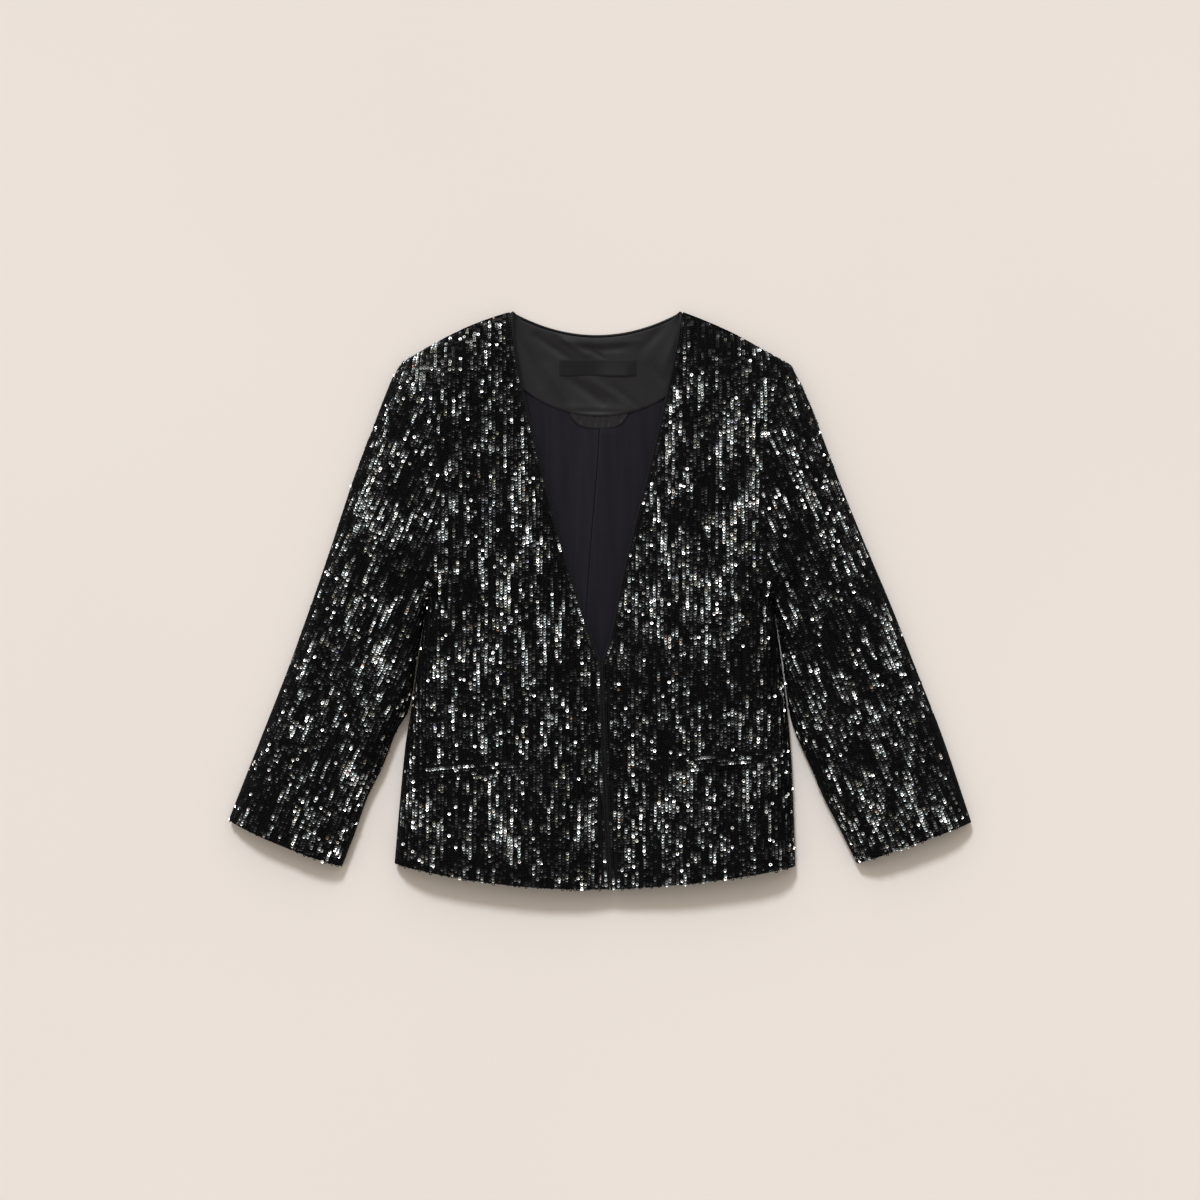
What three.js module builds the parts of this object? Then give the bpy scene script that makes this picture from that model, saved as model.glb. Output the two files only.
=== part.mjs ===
// Cropped sequin jacket with three-quarter sleeves, laid flat on its back and seen from above.
// Millimetres. +X points to the wearer's left, +Y to the neck, +Z up from the surface it lies on.
// "out" is the distance outward from the centre line, on either side.

import * as THREE from "three";

// Driving dimensions

const WALL = 2;                 // sequin cloth with its backing
const LINING_WALL = 1;
const SEAM_GAP = 0.3;
const EDGE_HEIGHT = 7;          // where the upper layer meets the lower one, at a folded edge
const UNDER_ROLL = 9;           // width of the lower layer's roll up to a folded edge
const OUTER_ROLL = 42;          // width of the upper layer's roll at shoulders and outer sleeves
const SIDE_ROLL = 34;           // the same at the body's sides and the sleeves' inner folds
const CHEST_HEIGHT = 28;
const SLEEVE_HEIGHT = 24;
const FRONT_EDGE_FALL = 80;     // width over which the chest rises to its height
const FRONT_EDGE_START = 12;    // how far before the front edge that rise starts
const SLEEVE_BLEND_OUT = 150;   // where the chest's height starts to give way to the sleeve's
const SLEEVE_BLEND_WIDTH = 110;
const PIPING_RADIUS = 1.4;
const PIPING_INSET = 1.55;      // from the finished edge to the middle of the piping
const CLOTH_INSET = 3.3;        // from the finished edge to the cut edge of the cloth
const BACK_HEM_DROP = 19;       // how far the back's hem curves down between its sides

// Outlines of one side: out for each y. The right side is the wearer's right.

const OUTER_SLEEVE = {
  right: [
    { y: 239, out: 197 }, { y: 226, out: 206 }, { y: 210, out: 213 }, { y: 184, out: 223 },
    { y: 120, out: 247 }, { y: 56, out: 268 }, { y: -8, out: 290 }, { y: -72, out: 313 },
    { y: -136, out: 338 }, { y: -220, out: 371 },
  ],
  left: [
    { y: 235, out: 191 }, { y: 226, out: 196 }, { y: 210, out: 204 }, { y: 184, out: 215 },
    { y: 120, out: 239 }, { y: 56, out: 265 }, { y: -8, out: 292 }, { y: -72, out: 317 },
    { y: -136, out: 342 }, { y: -222, out: 371 },
  ],
};

const INNER_SLEEVE = {
  right: [
    { y: 0, out: 172 }, { y: -56, out: 182 }, { y: -110, out: 191.5 }, { y: -130, out: 203 },
    { y: -168, out: 218 }, { y: -196, out: 232 }, { y: -232, out: 245 }, { y: -266, out: 258 },
  ],
  left: [
    { y: 0, out: 172 }, { y: -56, out: 181.5 }, { y: -114, out: 189.5 }, { y: -139, out: 198 },
    { y: -170, out: 212 }, { y: -200, out: 225 }, { y: -227, out: 239 }, { y: -263, out: 257 },
  ],
};

const BODY_SIDE = {
  right: [
    { y: 0, out: 172 }, { y: -56, out: 180.5 }, { y: -113, out: 189 }, { y: -144, out: 194 },
    { y: -205, out: 200 }, { y: -263, out: 205 },
  ],
  left: [
    { y: 0, out: 172 }, { y: -56, out: 180 }, { y: -113, out: 187 }, { y: -159, out: 191 },
    { y: -205, out: 193 }, { y: -266, out: 195 },
  ],
};

const ARMHOLE = {
  right: [
    { y: 239, out: 197 }, { y: 200, out: 175 }, { y: 150, out: 163 }, { y: 90, out: 159 },
    { y: 35, out: 165 }, { y: 0, out: 172 },
  ],
  left: [
    { y: 235, out: 191 }, { y: 200, out: 174 }, { y: 150, out: 163 }, { y: 90, out: 159 },
    { y: 35, out: 165 }, { y: 0, out: 172 },
  ],
};

// Finished front edge: the V neck down to the break, then edge to edge down to the hem.
// height is how high the cloth stands there.

const FRONT_EDGE = {
  right: [
    { y: 288, out: 87, height: 13 }, { y: 256, out: 84.5, height: 13 },
    { y: 206, out: 75.5, height: 13 }, { y: 142, out: 60, height: 13 },
    { y: 40, out: 33, height: 14 }, { y: -40, out: 7.5, height: 16 },
    { y: -64, out: -1.1, height: 17 }, { y: -90, out: -1.9, height: 17 },
    { y: -120, out: -2.9, height: 17 }, { y: -160, out: -4, height: 18 },
    { y: -225, out: -6.8, height: 20 }, { y: -288, out: -10, height: 23 },
  ],
  left: [
    { y: 288, out: 80, height: 13 }, { y: 256, out: 76, height: 13 },
    { y: 206, out: 66, height: 13 }, { y: 142, out: 51, height: 13 },
    { y: 40, out: 25.5, height: 14 }, { y: -40, out: 9, height: 16 },
    { y: -64, out: 1.2, height: 17 }, { y: -90, out: 1.9, height: 17 },
    { y: -120, out: 2.9, height: 17 }, { y: -160, out: 4, height: 18 },
    { y: -225, out: 6.8, height: 20 }, { y: -288, out: 10, height: 23 },
  ],
};

const SIDES = {
  right: { sign: -1, neckPoint: 87, shoulderBow: 4.7, hemBow: 7.3, cuffBow: 3 },
  left: { sign: 1, neckPoint: 80, shoulderBow: 3.3, hemBow: 3.5, cuffBow: 0.5 },
};

// Largest folds of the upper layer, as soft troughs from one point to another, shallower at their ends.

const FOLD_END_SHARE = 0.35;
const FOLD_RUN = { start: 0.08, end: 0.92 };   // the part of a half wave that a fold's depth follows
const FOLDS = [
  { x0: -120, y0: 195, x1: -112, y1: -40, width: 17, depth: 5 },
  { x0: 106, y0: 205, x1: 112, y1: 20, width: 14, depth: 4.5 },
  { x0: -186, y0: 60, x1: -205, y1: -70, width: 15, depth: 5 },
  { x0: 196, y0: 60, x1: 222, y1: -90, width: 16, depth: 5.5 },
  { x0: -60, y0: -20, x1: -72, y1: -240, width: 15, depth: 3 },
  { x0: 62, y0: -90, x1: 54, y1: -262, width: 16, depth: 3.5 },
  { x0: -262, y0: -40, x1: -300, y1: -150, width: 13, depth: 3.5 },
  { x0: 290, y0: -60, x1: 318, y1: -180, width: 13, depth: 3.5 },
  { x0: 150, y0: -110, x1: 128, y1: -250, width: 14, depth: 3 },
  { x0: -152, y0: -90, x1: -150, y1: -235, width: 13, depth: 3 },
];

const BACK_NECK_DEPTH = 22.5;
const NECK_LEVEL = 288;
const HEM_CENTRE = -288;

// Neck facing: a crescent from the back neck down to its lower edge.
const FACING_HALF_WIDTH = 100;
const FACING_LOW_CENTRE = 184;
const FACING_LOW_RISE = 46;     // how much higher its lower edge is at the ends
const FACING_LOW_POWER = 2.2;
const FACING_SHOULDER_CLEARANCE = 17;

const LINING_HALF_WIDTH = 148;
const LINING_HEM_LEVEL = -245;
const PLEAT = [
  { y: 184, x: 0 }, { y: 142, x: -2 }, { y: 42, x: -10 }, { y: -60, x: -15 }, { y: -245, x: -18 },
];
const PLEAT_STEP = 1.2;
const PLEAT_PROFILE = [         // across the pleat's fold
  { offset: -24, rise: 0 }, { offset: -12, rise: 0 }, { offset: -0.8, rise: 0 },
  { offset: 0.8, rise: PLEAT_STEP }, { offset: 12, rise: PLEAT_STEP / 2 }, { offset: 24, rise: 0 },
];
const LINING_COLUMNS = 8;
const LINING_TOP_LEVEL = 205;

const LABEL = { x0: -40.5, x1: 36.5, y0: 224, y1: 240.5, wall: 1, lift: 1.8, liftStart: 0.45, liftRun: 0.4 };
const LOOP = {
  centre: -1, halfWidth: 29, depth: 14.5, endDepth: 3, wall: 1.2, cornerPower: 2.6, sidePower: 0.8,
};

const WELT_WIDTH = 12.5;
const WELT_WALL = 1.2;
const WELTS = {
  right: { outNear: 76, outFar: 173, levelNear: -160, levelFar: -168 },
  left: { outNear: 88, outFar: 183, levelNear: -157, levelFar: -150 },
};

// How far the pipings stop short of the hem, the neck points and the ends of the back neck
const PIPING_HEM_END = 1;
const PIPING_NECK_END = 5;
const NECK_PIPING_END = 7;

// Mesh resolution. The powers crowd the rows of the body and the rings of the sleeves.
const ROWS_BELOW = 9;
const ROWS_ABOVE = 12;
const ROWS_POWER = 1.4;
const SLEEVE_RINGS = 15;
const RINGS_POWER = 1.15;
const OUTLINE_STEPS = 40;
const CORD_SIDES = 6;
const WELT_GRID = { columns: 20, rows: 3 };
const FACING_GRID = { columns: 20, rows: 8 };
const LABEL_GRID = { columns: 8, rows: 3 };
const LOOP_GRID = { columns: 14, rows: 2 };
const LINING_ROWS = 10;
const TANGENT_STEP = 0.01;      // share of a seam or an edge over which its direction is taken
const SLOPE_STEP = 0.25;

// Curves and blends

const lerp = (a, b, t) => a + (b - a) * t;
const clamp01 = (t) => Math.min(1, Math.max(0, t));
const smooth = (t) => clamp01(t) ** 2 * (3 - 2 * clamp01(t));
const range = (count, f) => Array.from({ length: count }, (_, i) => f(i));

// Value of one column of a table at y: a cubic through its rows.
function columnAt(rows, y, column = "out") {
  const ordered = rows[0].y < rows[rows.length - 1].y ? rows : [...rows].reverse();
  const last = ordered.length - 1;
  let i = 0;
  while (i < last - 1 && y > ordered[i + 1].y) i += 1;
  const slope = (k) => {
    const a = ordered[Math.max(0, k - 1)];
    const b = ordered[Math.min(last, k + 1)];
    return (b[column] - a[column]) / (b.y - a.y);
  };
  const a = ordered[i];
  const b = ordered[i + 1];
  const h = b.y - a.y;
  const t = clamp01((y - a.y) / h);
  const bump = a[column] * (1 + 2 * t) * (1 - t) ** 2 + b[column] * t * t * (3 - 2 * t);
  return bump + h * slope(i) * t * (1 - t) ** 2 - h * slope(i + 1) * t * t * (1 - t);
}

const tip = (side) => ARMHOLE[side][0];

// The shoulder seam, from the sleeve's tip (t = 0) to the neck point (t = 1).
function shoulderPoint(side, t) {
  const { sign, neckPoint, shoulderBow } = SIDES[side];
  const out = lerp(tip(side).out, neckPoint, t);
  const y = lerp(tip(side).y, NECK_LEVEL, t) + shoulderBow * 4 * t * (1 - t);
  return new THREE.Vector2(sign * out, y);
}

function tablePoint(side, table, t) {
  const rows = table[side];
  const y = lerp(rows[0].y, rows[rows.length - 1].y, t);
  return new THREE.Vector2(SIDES[side].sign * columnAt(rows, y), y);
}

// Folded edges of the garment, which both layers roll to.
const along = (place) => range(OUTLINE_STEPS + 1, (i) => place(i / OUTLINE_STEPS));
const EDGES = Object.keys(SIDES).flatMap((side) => [
  { roll: OUTER_ROLL, points: along((t) => shoulderPoint(side, t)) },
  { roll: OUTER_ROLL, points: along((t) => tablePoint(side, OUTER_SLEEVE, t)) },
  { roll: SIDE_ROLL, points: along((t) => tablePoint(side, INNER_SLEEVE, t)) },
  { roll: SIDE_ROLL, points: along((t) => tablePoint(side, BODY_SIDE, t)) },
]);

function distanceToSegment(x, y, a, b) {
  const dx = b.x - a.x;
  const dy = b.y - a.y;
  const t = clamp01(((x - a.x) * dx + (y - a.y) * dy) / (dx * dx + dy * dy));
  return { distance: Math.hypot(x - a.x - t * dx, y - a.y - t * dy), t };
}

// How far in from the nearest folded edge, as a share of the roll's width.
function rollShare(x, y, rollOf) {
  let share = 1;
  for (const { roll, points } of EDGES) {
    for (let i = 1; i < points.length; i += 1) {
      const { distance } = distanceToSegment(x, y, points[i - 1], points[i]);
      share = Math.min(share, distance / rollOf(roll));
    }
  }
  return share;
}

const roundUp = (share) => Math.sqrt(Math.max(0, 1 - (1 - share) ** 2));

function foldDepth(x, y) {
  let depth = 0;
  for (const fold of FOLDS) {
    const { distance, t } = distanceToSegment(x, y, { x: fold.x0, y: fold.y0 }, { x: fold.x1, y: fold.y1 });
    const share = lerp(FOLD_END_SHARE, 1, Math.sin(Math.PI * lerp(FOLD_RUN.start, FOLD_RUN.end, t)));
    depth += fold.depth * share * Math.exp(-((distance / fold.width) ** 2));
  }
  return depth;
}

// Outer face of the upper layer: fronts and the tops of the sleeves.
function upperHeight(x, y) {
  const side = x < 0 ? "right" : "left";
  const out = Math.abs(x);
  const level = Math.min(NECK_LEVEL, Math.max(HEM_CENTRE, y));
  const fromEdge = out - columnAt(FRONT_EDGE[side], level);
  const edgeHeight = columnAt(FRONT_EDGE[side], level, "height");
  const body = lerp(edgeHeight, CHEST_HEIGHT, smooth((fromEdge + FRONT_EDGE_START) / FRONT_EDGE_FALL));
  const towardsSleeve = smooth((out - SLEEVE_BLEND_OUT) / SLEEVE_BLEND_WIDTH);
  const full = lerp(body, SLEEVE_HEIGHT, towardsSleeve) - foldDepth(x, y);
  return lerp(EDGE_HEIGHT, full, roundUp(rollShare(x, y, (roll) => roll)));
}

// Outer face of the lower layer: flat on the surface, rolling up to the folded edges.
function lowerHeight(x, y) {
  return EDGE_HEIGHT * (1 - roundUp(rollShare(x, y, () => UNDER_ROLL)));
}

function faceNormal(height, x, y, up) {
  const h = SLOPE_STEP;
  const dx = (height(x + h, y) - height(x - h, y)) / (2 * h);
  const dy = (height(x, y + h) - height(x, y - h)) / (2 * h);
  return new THREE.Vector3(-dx, -dy, 1).normalize().multiplyScalar(up ? 1 : -1);
}

// Solids from grids of wall points, each with an outer and an inner place

const wallPoint = (point, normal, wall) => ({
  outer: point,
  inner: point.clone().addScaledVector(normal, -wall),
});

function signedVolume(positions, index) {
  let volume = 0;
  const p = (k) => new THREE.Vector3().fromArray(positions, 3 * index[k]);
  for (let k = 0; k < index.length; k += 3) {
    volume += p(k).dot(p(k + 1).clone().cross(p(k + 2))) / 6;
  }
  return volume;
}

function meshOf(name, positions, index, material) {
  if (signedVolume(positions, index) < 0) index.reverse();
  const geometry = new THREE.BufferGeometry();
  geometry.setAttribute("position", new THREE.Float32BufferAttribute(positions, 3));
  geometry.setIndex(index);
  geometry.computeVertexNormals();
  const mesh = new THREE.Mesh(geometry, material);
  mesh.name = name;
  return mesh;
}

// grid[row][column]; a ring closes each row on itself.
function wallSolid(name, grid, material, ring = false) {
  const rows = grid.length;
  const columns = grid[0].length;
  const positions = grid.flat().flatMap(({ outer, inner }) => [...outer.toArray(), ...inner.toArray()]);
  const at = (row, column, inside) => 2 * (row * columns + (column % columns)) + (inside ? 1 : 0);
  const index = [];
  const quad = (a, b, c, d) => index.push(a, b, c, a, c, d);
  const acrossCount = ring ? columns : columns - 1;
  for (let r = 0; r < rows - 1; r += 1) {
    for (let c = 0; c < acrossCount; c += 1) {
      quad(at(r, c, false), at(r, c + 1, false), at(r + 1, c + 1, false), at(r + 1, c, false));
      quad(at(r, c, true), at(r + 1, c, true), at(r + 1, c + 1, true), at(r, c + 1, true));
    }
  }
  for (let c = 0; c < acrossCount; c += 1) {
    quad(at(0, c, false), at(0, c, true), at(0, c + 1, true), at(0, c + 1, false));
    const r = rows - 1;
    quad(at(r, c, false), at(r, c + 1, false), at(r, c + 1, true), at(r, c, true));
  }
  if (!ring) {
    for (let r = 0; r < rows - 1; r += 1) {
      quad(at(r, 0, false), at(r + 1, 0, false), at(r + 1, 0, true), at(r, 0, true));
      const c = columns - 1;
      quad(at(r, c, false), at(r, c, true), at(r + 1, c, true), at(r + 1, c, false));
    }
  }
  return meshOf(name, positions, index, material);
}

// A closed cord of round section along a list of points.
function cordSolid(name, path, radius, material) {
  const rings = path.map((point, i) => {
    const before = path[Math.max(0, i - 1)];
    const after = path[Math.min(path.length - 1, i + 1)];
    const forward = after.clone().sub(before).normalize();
    const across = new THREE.Vector3(forward.y, -forward.x, 0).normalize();
    const up = across.clone().cross(forward);
    return range(CORD_SIDES, (k) => {
      const angle = (2 * Math.PI * (k + 0.5)) / CORD_SIDES;
      const aside = point.clone().addScaledVector(across, radius * Math.cos(angle));
      return aside.addScaledVector(up, radius * Math.sin(angle));
    });
  });
  const positions = rings.flat().flatMap((point) => point.toArray());
  const at = (ring, k) => ring * CORD_SIDES + (k % CORD_SIDES);
  const index = [];
  for (let r = 0; r < rings.length - 1; r += 1) {
    for (let k = 0; k < CORD_SIDES; k += 1) {
      index.push(at(r, k), at(r, k + 1), at(r + 1, k + 1), at(r, k), at(r + 1, k + 1), at(r + 1, k));
    }
  }
  for (let k = 1; k < CORD_SIDES - 1; k += 1) {
    const last = rings.length - 1;
    index.push(at(0, 0), at(0, k + 1), at(0, k), at(last, 0), at(last, k), at(last, k + 1));
  }
  return meshOf(name, positions, index, material);
}

// Armhole seam, shared by the fronts, the back and the sleeves

const ABOVE_SHARES = range(ROWS_ABOVE + 1, (i) => (1 - Math.cos((Math.PI * i) / ROWS_ABOVE)) / 2);

function armholePoint(side, share) {
  return tablePoint(side, ARMHOLE, 1 - share);
}

// Horizontal direction across the seam, away from the body.
function acrossSeam(side, share) {
  const a = armholePoint(side, Math.max(0, share - TANGENT_STEP));
  const b = armholePoint(side, Math.min(1, share + TANGENT_STEP));
  const up = b.sub(a).normalize();
  const { sign } = SIDES[side];
  return new THREE.Vector3(sign * Math.abs(up.y), -sign * up.x * Math.sign(up.y), 0);
}

// A wall point on the seam: its thickness runs in the seam's own plane, so neighbours stay apart.
// away is +1 for the sleeve and -1 for the body.
function seamPoint(side, share, upper, away) {
  const place = armholePoint(side, share);
  const across = acrossSeam(side, share);
  const height = upper ? upperHeight : lowerHeight;
  const atEnd = share === 0 || share === 1;
  const z = atEnd ? EDGE_HEIGHT : height(place.x, place.y);
  let normal = faceNormal(height, place.x, place.y, upper);
  if (atEnd) {
    normal = new THREE.Vector3(-across.y, across.x, 0);
    if (normal.y * (share - 0.5) < 0) normal.negate();
  }
  normal.addScaledVector(across, -normal.dot(across)).normalize();
  const point = new THREE.Vector3(place.x, place.y, z).addScaledVector(across, (away * SEAM_GAP) / 2);
  return wallPoint(point, normal, WALL);
}

// Horizontal normal at a place on a folded edge, from two neighbours on it, pointing away from inside.
function edgeNormal(a, b, inside) {
  const forward = b.clone().sub(a).normalize();
  const normal = new THREE.Vector3(forward.y, -forward.x, 0);
  const middle = a.clone().add(b).multiplyScalar(0.5);
  const toInside = new THREE.Vector3(inside.x - middle.x, inside.y - middle.y, 0);
  return normal.dot(toInside) > 0 ? normal.negate() : normal;
}

function foldedEdgePoint(edge, t, inside, z) {
  const normal = edgeNormal(edge(Math.max(0, t - TANGENT_STEP)), edge(Math.min(1, t + TANGENT_STEP)), inside);
  const place = edge(t);
  return wallPoint(new THREE.Vector3(place.x, place.y, z), normal, WALL);
}

// Rows of the body run from side to side, from the hem (share -1) past the underarm (0)
// to the shoulders (1).

const BODY_SHARES = [
  ...range(ROWS_BELOW, (i) => -((1 - i / ROWS_BELOW) ** ROWS_POWER)),
  ...ABOVE_SHARES,
];

function bodySidePoint(side, share) {
  return share < 0 ? tablePoint(side, BODY_SIDE, -share) : armholePoint(side, share);
}

const frontLevel = (share) => (share < 0 ? -share * HEM_CENTRE : share * NECK_LEVEL);

function frontRowBow(side, share) {
  const { hemBow, shoulderBow } = SIDES[side];
  return share < 0 ? -hemBow * share * share : shoulderBow * share * share;
}

// Widths in from the side edge, then even shares up to the front edge.
const SIDE_COLUMNS = [0, 2.5, 9, 19, 31];
const EVEN_COLUMNS = 9;

function frontPanel(side, material) {
  const { sign } = SIDES[side];
  const seamZ = EDGE_HEIGHT + SEAM_GAP / 2;
  const sideEdge = (t) => tablePoint(side, BODY_SIDE, t);
  const shoulder = (t) => shoulderPoint(side, t);
  const grid = BODY_SHARES.map((share) => {
    const start = bodySidePoint(side, share);
    const level = frontLevel(share);
    const end = new THREE.Vector2(sign * (columnAt(FRONT_EDGE[side], level) + CLOTH_INSET), level);
    const length = start.distanceTo(end);
    const bow = frontRowBow(side, share);
    const sideShares = SIDE_COLUMNS.map((width) => width / length);
    const evenShares = range(EVEN_COLUMNS, (i) => lerp(sideShares.at(-1), 1, (i + 1) / EVEN_COLUMNS));
    const shares = [...sideShares, ...evenShares];
    return shares.map((u, column) => {
      const x = lerp(start.x, end.x, u);
      const y = lerp(start.y, end.y, u) + bow * 4 * u * (1 - u);
      if (column === 0 && share >= 0) {
        return lifted(seamPoint(side, share, true, -1), share, SEAM_GAP / 2);
      }
      if (column === 0) return foldedEdgePoint(sideEdge, -share, new THREE.Vector2(0, start.y), seamZ);
      if (share === 1) return foldedEdgePoint(shoulder, u, new THREE.Vector2(x, 0), seamZ);
      const point = new THREE.Vector3(x, y, upperHeight(x, y));
      return wallPoint(point, faceNormal(upperHeight, x, y, true), WALL);
    });
  });
  return wallSolid(`front_${side}`, grid, material);
}

// At the ends of the armhole the upper and lower layers part by the seam gap.
function lifted(point, share, rise) {
  if (share > 0 && share < 1) return point;
  point.outer.z += rise;
  point.inner.z += rise;
  return point;
}

// Back panel: shares across from a side edge to near the neck point, then over the neck.
const EDGE_SHARES = [0, 0.004, 0.012, 0.024, 0.08, 0.16];
const BACK_TOP_POWER = 1.5;     // how the rows above the underarm take up the shoulder line

// The back neck at x, drawn in from the finished edge by inset.
function backNeckLevel(x, inset = 0) {
  const centre = (SIDES.left.neckPoint - SIDES.right.neckPoint) / 2;
  const half = (SIDES.left.neckPoint + SIDES.right.neckPoint) / 2;
  const u = Math.min(1, Math.abs(x - centre) / half);
  const slope = (2 * u * BACK_NECK_DEPTH) / half;
  return NECK_LEVEL - BACK_NECK_DEPTH * (1 - u * u) - inset * Math.hypot(1, slope);
}

function backPanel(material) {
  const seamZ = EDGE_HEIGHT - SEAM_GAP / 2;
  const span = tip("right").out + tip("left").out;
  const neckStart = (tip("right").out - SIDES.right.neckPoint) / span;
  const neckEnd = (tip("right").out + SIDES.left.neckPoint) / span;
  const across = [
    ...EDGE_SHARES, ...ABOVE_SHARES.map((s) => lerp(neckStart, neckEnd, s)),
    ...EDGE_SHARES.map((s) => 1 - s).reverse(),
  ];
  const topPlace = (w) => {
    if (w <= neckStart) return shoulderPoint("right", w / neckStart);
    if (w >= neckEnd) return shoulderPoint("left", (1 - w) / (1 - neckEnd));
    const x = lerp(-tip("right").out, tip("left").out, w);
    return new THREE.Vector2(x, backNeckLevel(x, CLOTH_INSET));
  };
  const grid = BODY_SHARES.map((share) => {
    const right = bodySidePoint("right", share);
    const left = bodySidePoint("left", share);
    return across.map((w, column) => {
      const side = w < 0.5 ? "right" : "left";
      const onSide = column === 0 || column === across.length - 1;
      if (onSide && share >= 0) {
        return lifted(seamPoint(side, share, false, -1), share, -SEAM_GAP / 2);
      }
      const sideEdge = (t) => tablePoint(side, BODY_SIDE, t);
      if (onSide) return foldedEdgePoint(sideEdge, -share, new THREE.Vector2(0, 0), seamZ);
      const flat = new THREE.Vector2().lerpVectors(right, left, w);
      const top = topPlace(w);
      const tops = lerp(tip("right").y, tip("left").y, w);
      if (share > 0) flat.y += (top.y - tops) * share ** BACK_TOP_POWER;
      if (share < 0) flat.y -= BACK_HEM_DROP * share ** 2 * 4 * w * (1 - w);
      if (share === 1) flat.copy(top);
      const onShoulder = share === 1 && (w <= neckStart || w >= neckEnd);
      if (onShoulder) {
        const t = side === "right" ? w / neckStart : (1 - w) / (1 - neckEnd);
        return foldedEdgePoint((s) => shoulderPoint(side, s), t, new THREE.Vector2(flat.x, 0), seamZ);
      }
      const point = new THREE.Vector3(flat.x, flat.y, lowerHeight(flat.x, flat.y));
      return wallPoint(point, faceNormal(lowerHeight, flat.x, flat.y, false), WALL);
    });
  });
  return wallSolid("back", grid, material);
}

// Sleeve: rings from the armhole (first) to the cuff (last)

function sleeve(side, material) {
  const { sign, cuffBow } = SIDES[side];
  const outer = (t) => tablePoint(side, OUTER_SLEEVE, t);
  const inner = (t) => tablePoint(side, INNER_SLEEVE, t);
  const shares = ABOVE_SHARES.map((s) => 1 - s).reverse();
  const inside = (t) => outer(t).add(inner(t)).multiplyScalar(0.5);
  const place = (t, s) => {
    const chord = new THREE.Vector2().lerpVectors(outer(t), inner(t), s);
    const chordStart = new THREE.Vector2().lerpVectors(outer(0), inner(0), s);
    chord.x += (armholePoint(side, 1 - s).x - chordStart.x) * (1 - t) ** 2;
    chord.y -= cuffBow * t * t * 4 * s * (1 - s);
    return chord;
  };
  const grid = range(SLEEVE_RINGS + 1, (k) => {
    const t = (k / SLEEVE_RINGS) ** RINGS_POWER;
    const layer = (s, upper) => {
      if (k === 0) return seamPoint(side, 1 - s, upper, 1);
      if (s === 0) return foldedEdgePoint(outer, t, inside(t), EDGE_HEIGHT);
      if (s === 1) return foldedEdgePoint(inner, t, inside(t), EDGE_HEIGHT);
      const { x, y } = place(t, s);
      const height = upper ? upperHeight : lowerHeight;
      return wallPoint(new THREE.Vector3(x, y, height(x, y)), faceNormal(height, x, y, upper), WALL);
    };
    const top = shares.map((s) => layer(s, true));
    const bottom = shares.slice(1, -1).reverse().map((s) => layer(s, false));
    return sign > 0 ? [...top, ...bottom] : [...top, ...bottom].reverse();
  });
  return wallSolid(`sleeve_${side}`, grid, material, true);
}

// Pieces that lie on a panel, from its own points moved out

const ON_BACK = WALL + SEAM_GAP;
const ON_FACING = ON_BACK + LINING_WALL + SEAM_GAP;

function laidPiece(name, { columns, rows }, placeAt, height, lift, wall, material) {
  const grid = range(rows + 1, (r) => range(columns + 1, (c) => {
    const { x, y, rise = 0 } = placeAt(c / columns, r / rows);
    const normal = faceNormal(height, x, y, true);
    const base = new THREE.Vector3(x, y, height(x, y) + rise).addScaledVector(normal, lift);
    return { inner: base, outer: base.clone().addScaledVector(normal, wall) };
  }));
  return wallSolid(name, grid, material);
}

// Height of a panel's own faces over a place.
function panelHeight(panel, x, y) {
  const { position } = panel.geometry.attributes;
  const { array } = panel.geometry.index;
  const above = new THREE.Vector3(x, y, 2 * CHEST_HEIGHT);
  const down = new THREE.Ray(above, new THREE.Vector3(0, 0, -1));
  const corner = (k) => new THREE.Vector3().fromBufferAttribute(position, array[k]);
  let top = -Infinity;
  for (let k = 0; k < array.length; k += 3) {
    const hit = down.intersectTriangle(corner(k), corner(k + 1), corner(k + 2), false, new THREE.Vector3());
    if (hit) top = Math.max(top, hit.z);
  }
  return top;
}

function pocketWelt(side, panel, material) {
  const { sign } = SIDES[side];
  const welt = WELTS[side];
  const placeAt = (u, v) => ({
    x: sign * lerp(welt.outNear, welt.outFar, u),
    y: lerp(welt.levelNear, welt.levelFar, u) - WELT_WIDTH * (1 - v),
  });
  const height = (x, y) => panelHeight(panel, x, y);
  return laidPiece(`pocket_welt_${side}`, WELT_GRID, placeAt, height, 2 * SEAM_GAP, WELT_WALL, material);
}

function facingLow(x) {
  return FACING_LOW_CENTRE + FACING_LOW_RISE * (Math.abs(x) / FACING_HALF_WIDTH) ** FACING_LOW_POWER;
}

function facingHigh(x) {
  const side = x < 0 ? "right" : "left";
  const { neckPoint } = SIDES[side];
  const t = (tip(side).out - Math.abs(x)) / (tip(side).out - neckPoint);
  const shoulder = shoulderPoint(side, Math.min(1, t)).y - FACING_SHOULDER_CLEARANCE;
  return Math.min(shoulder, backNeckLevel(x, CLOTH_INSET));
}

function neckFacing(material) {
  const placeAt = (u, v) => {
    const x = lerp(-FACING_HALF_WIDTH, FACING_HALF_WIDTH, u);
    return { x, y: lerp(facingLow(x), facingHigh(x), v) };
  };
  return laidPiece("neck_facing", FACING_GRID, placeAt, lowerHeight, ON_BACK, LINING_WALL, material);
}

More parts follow.
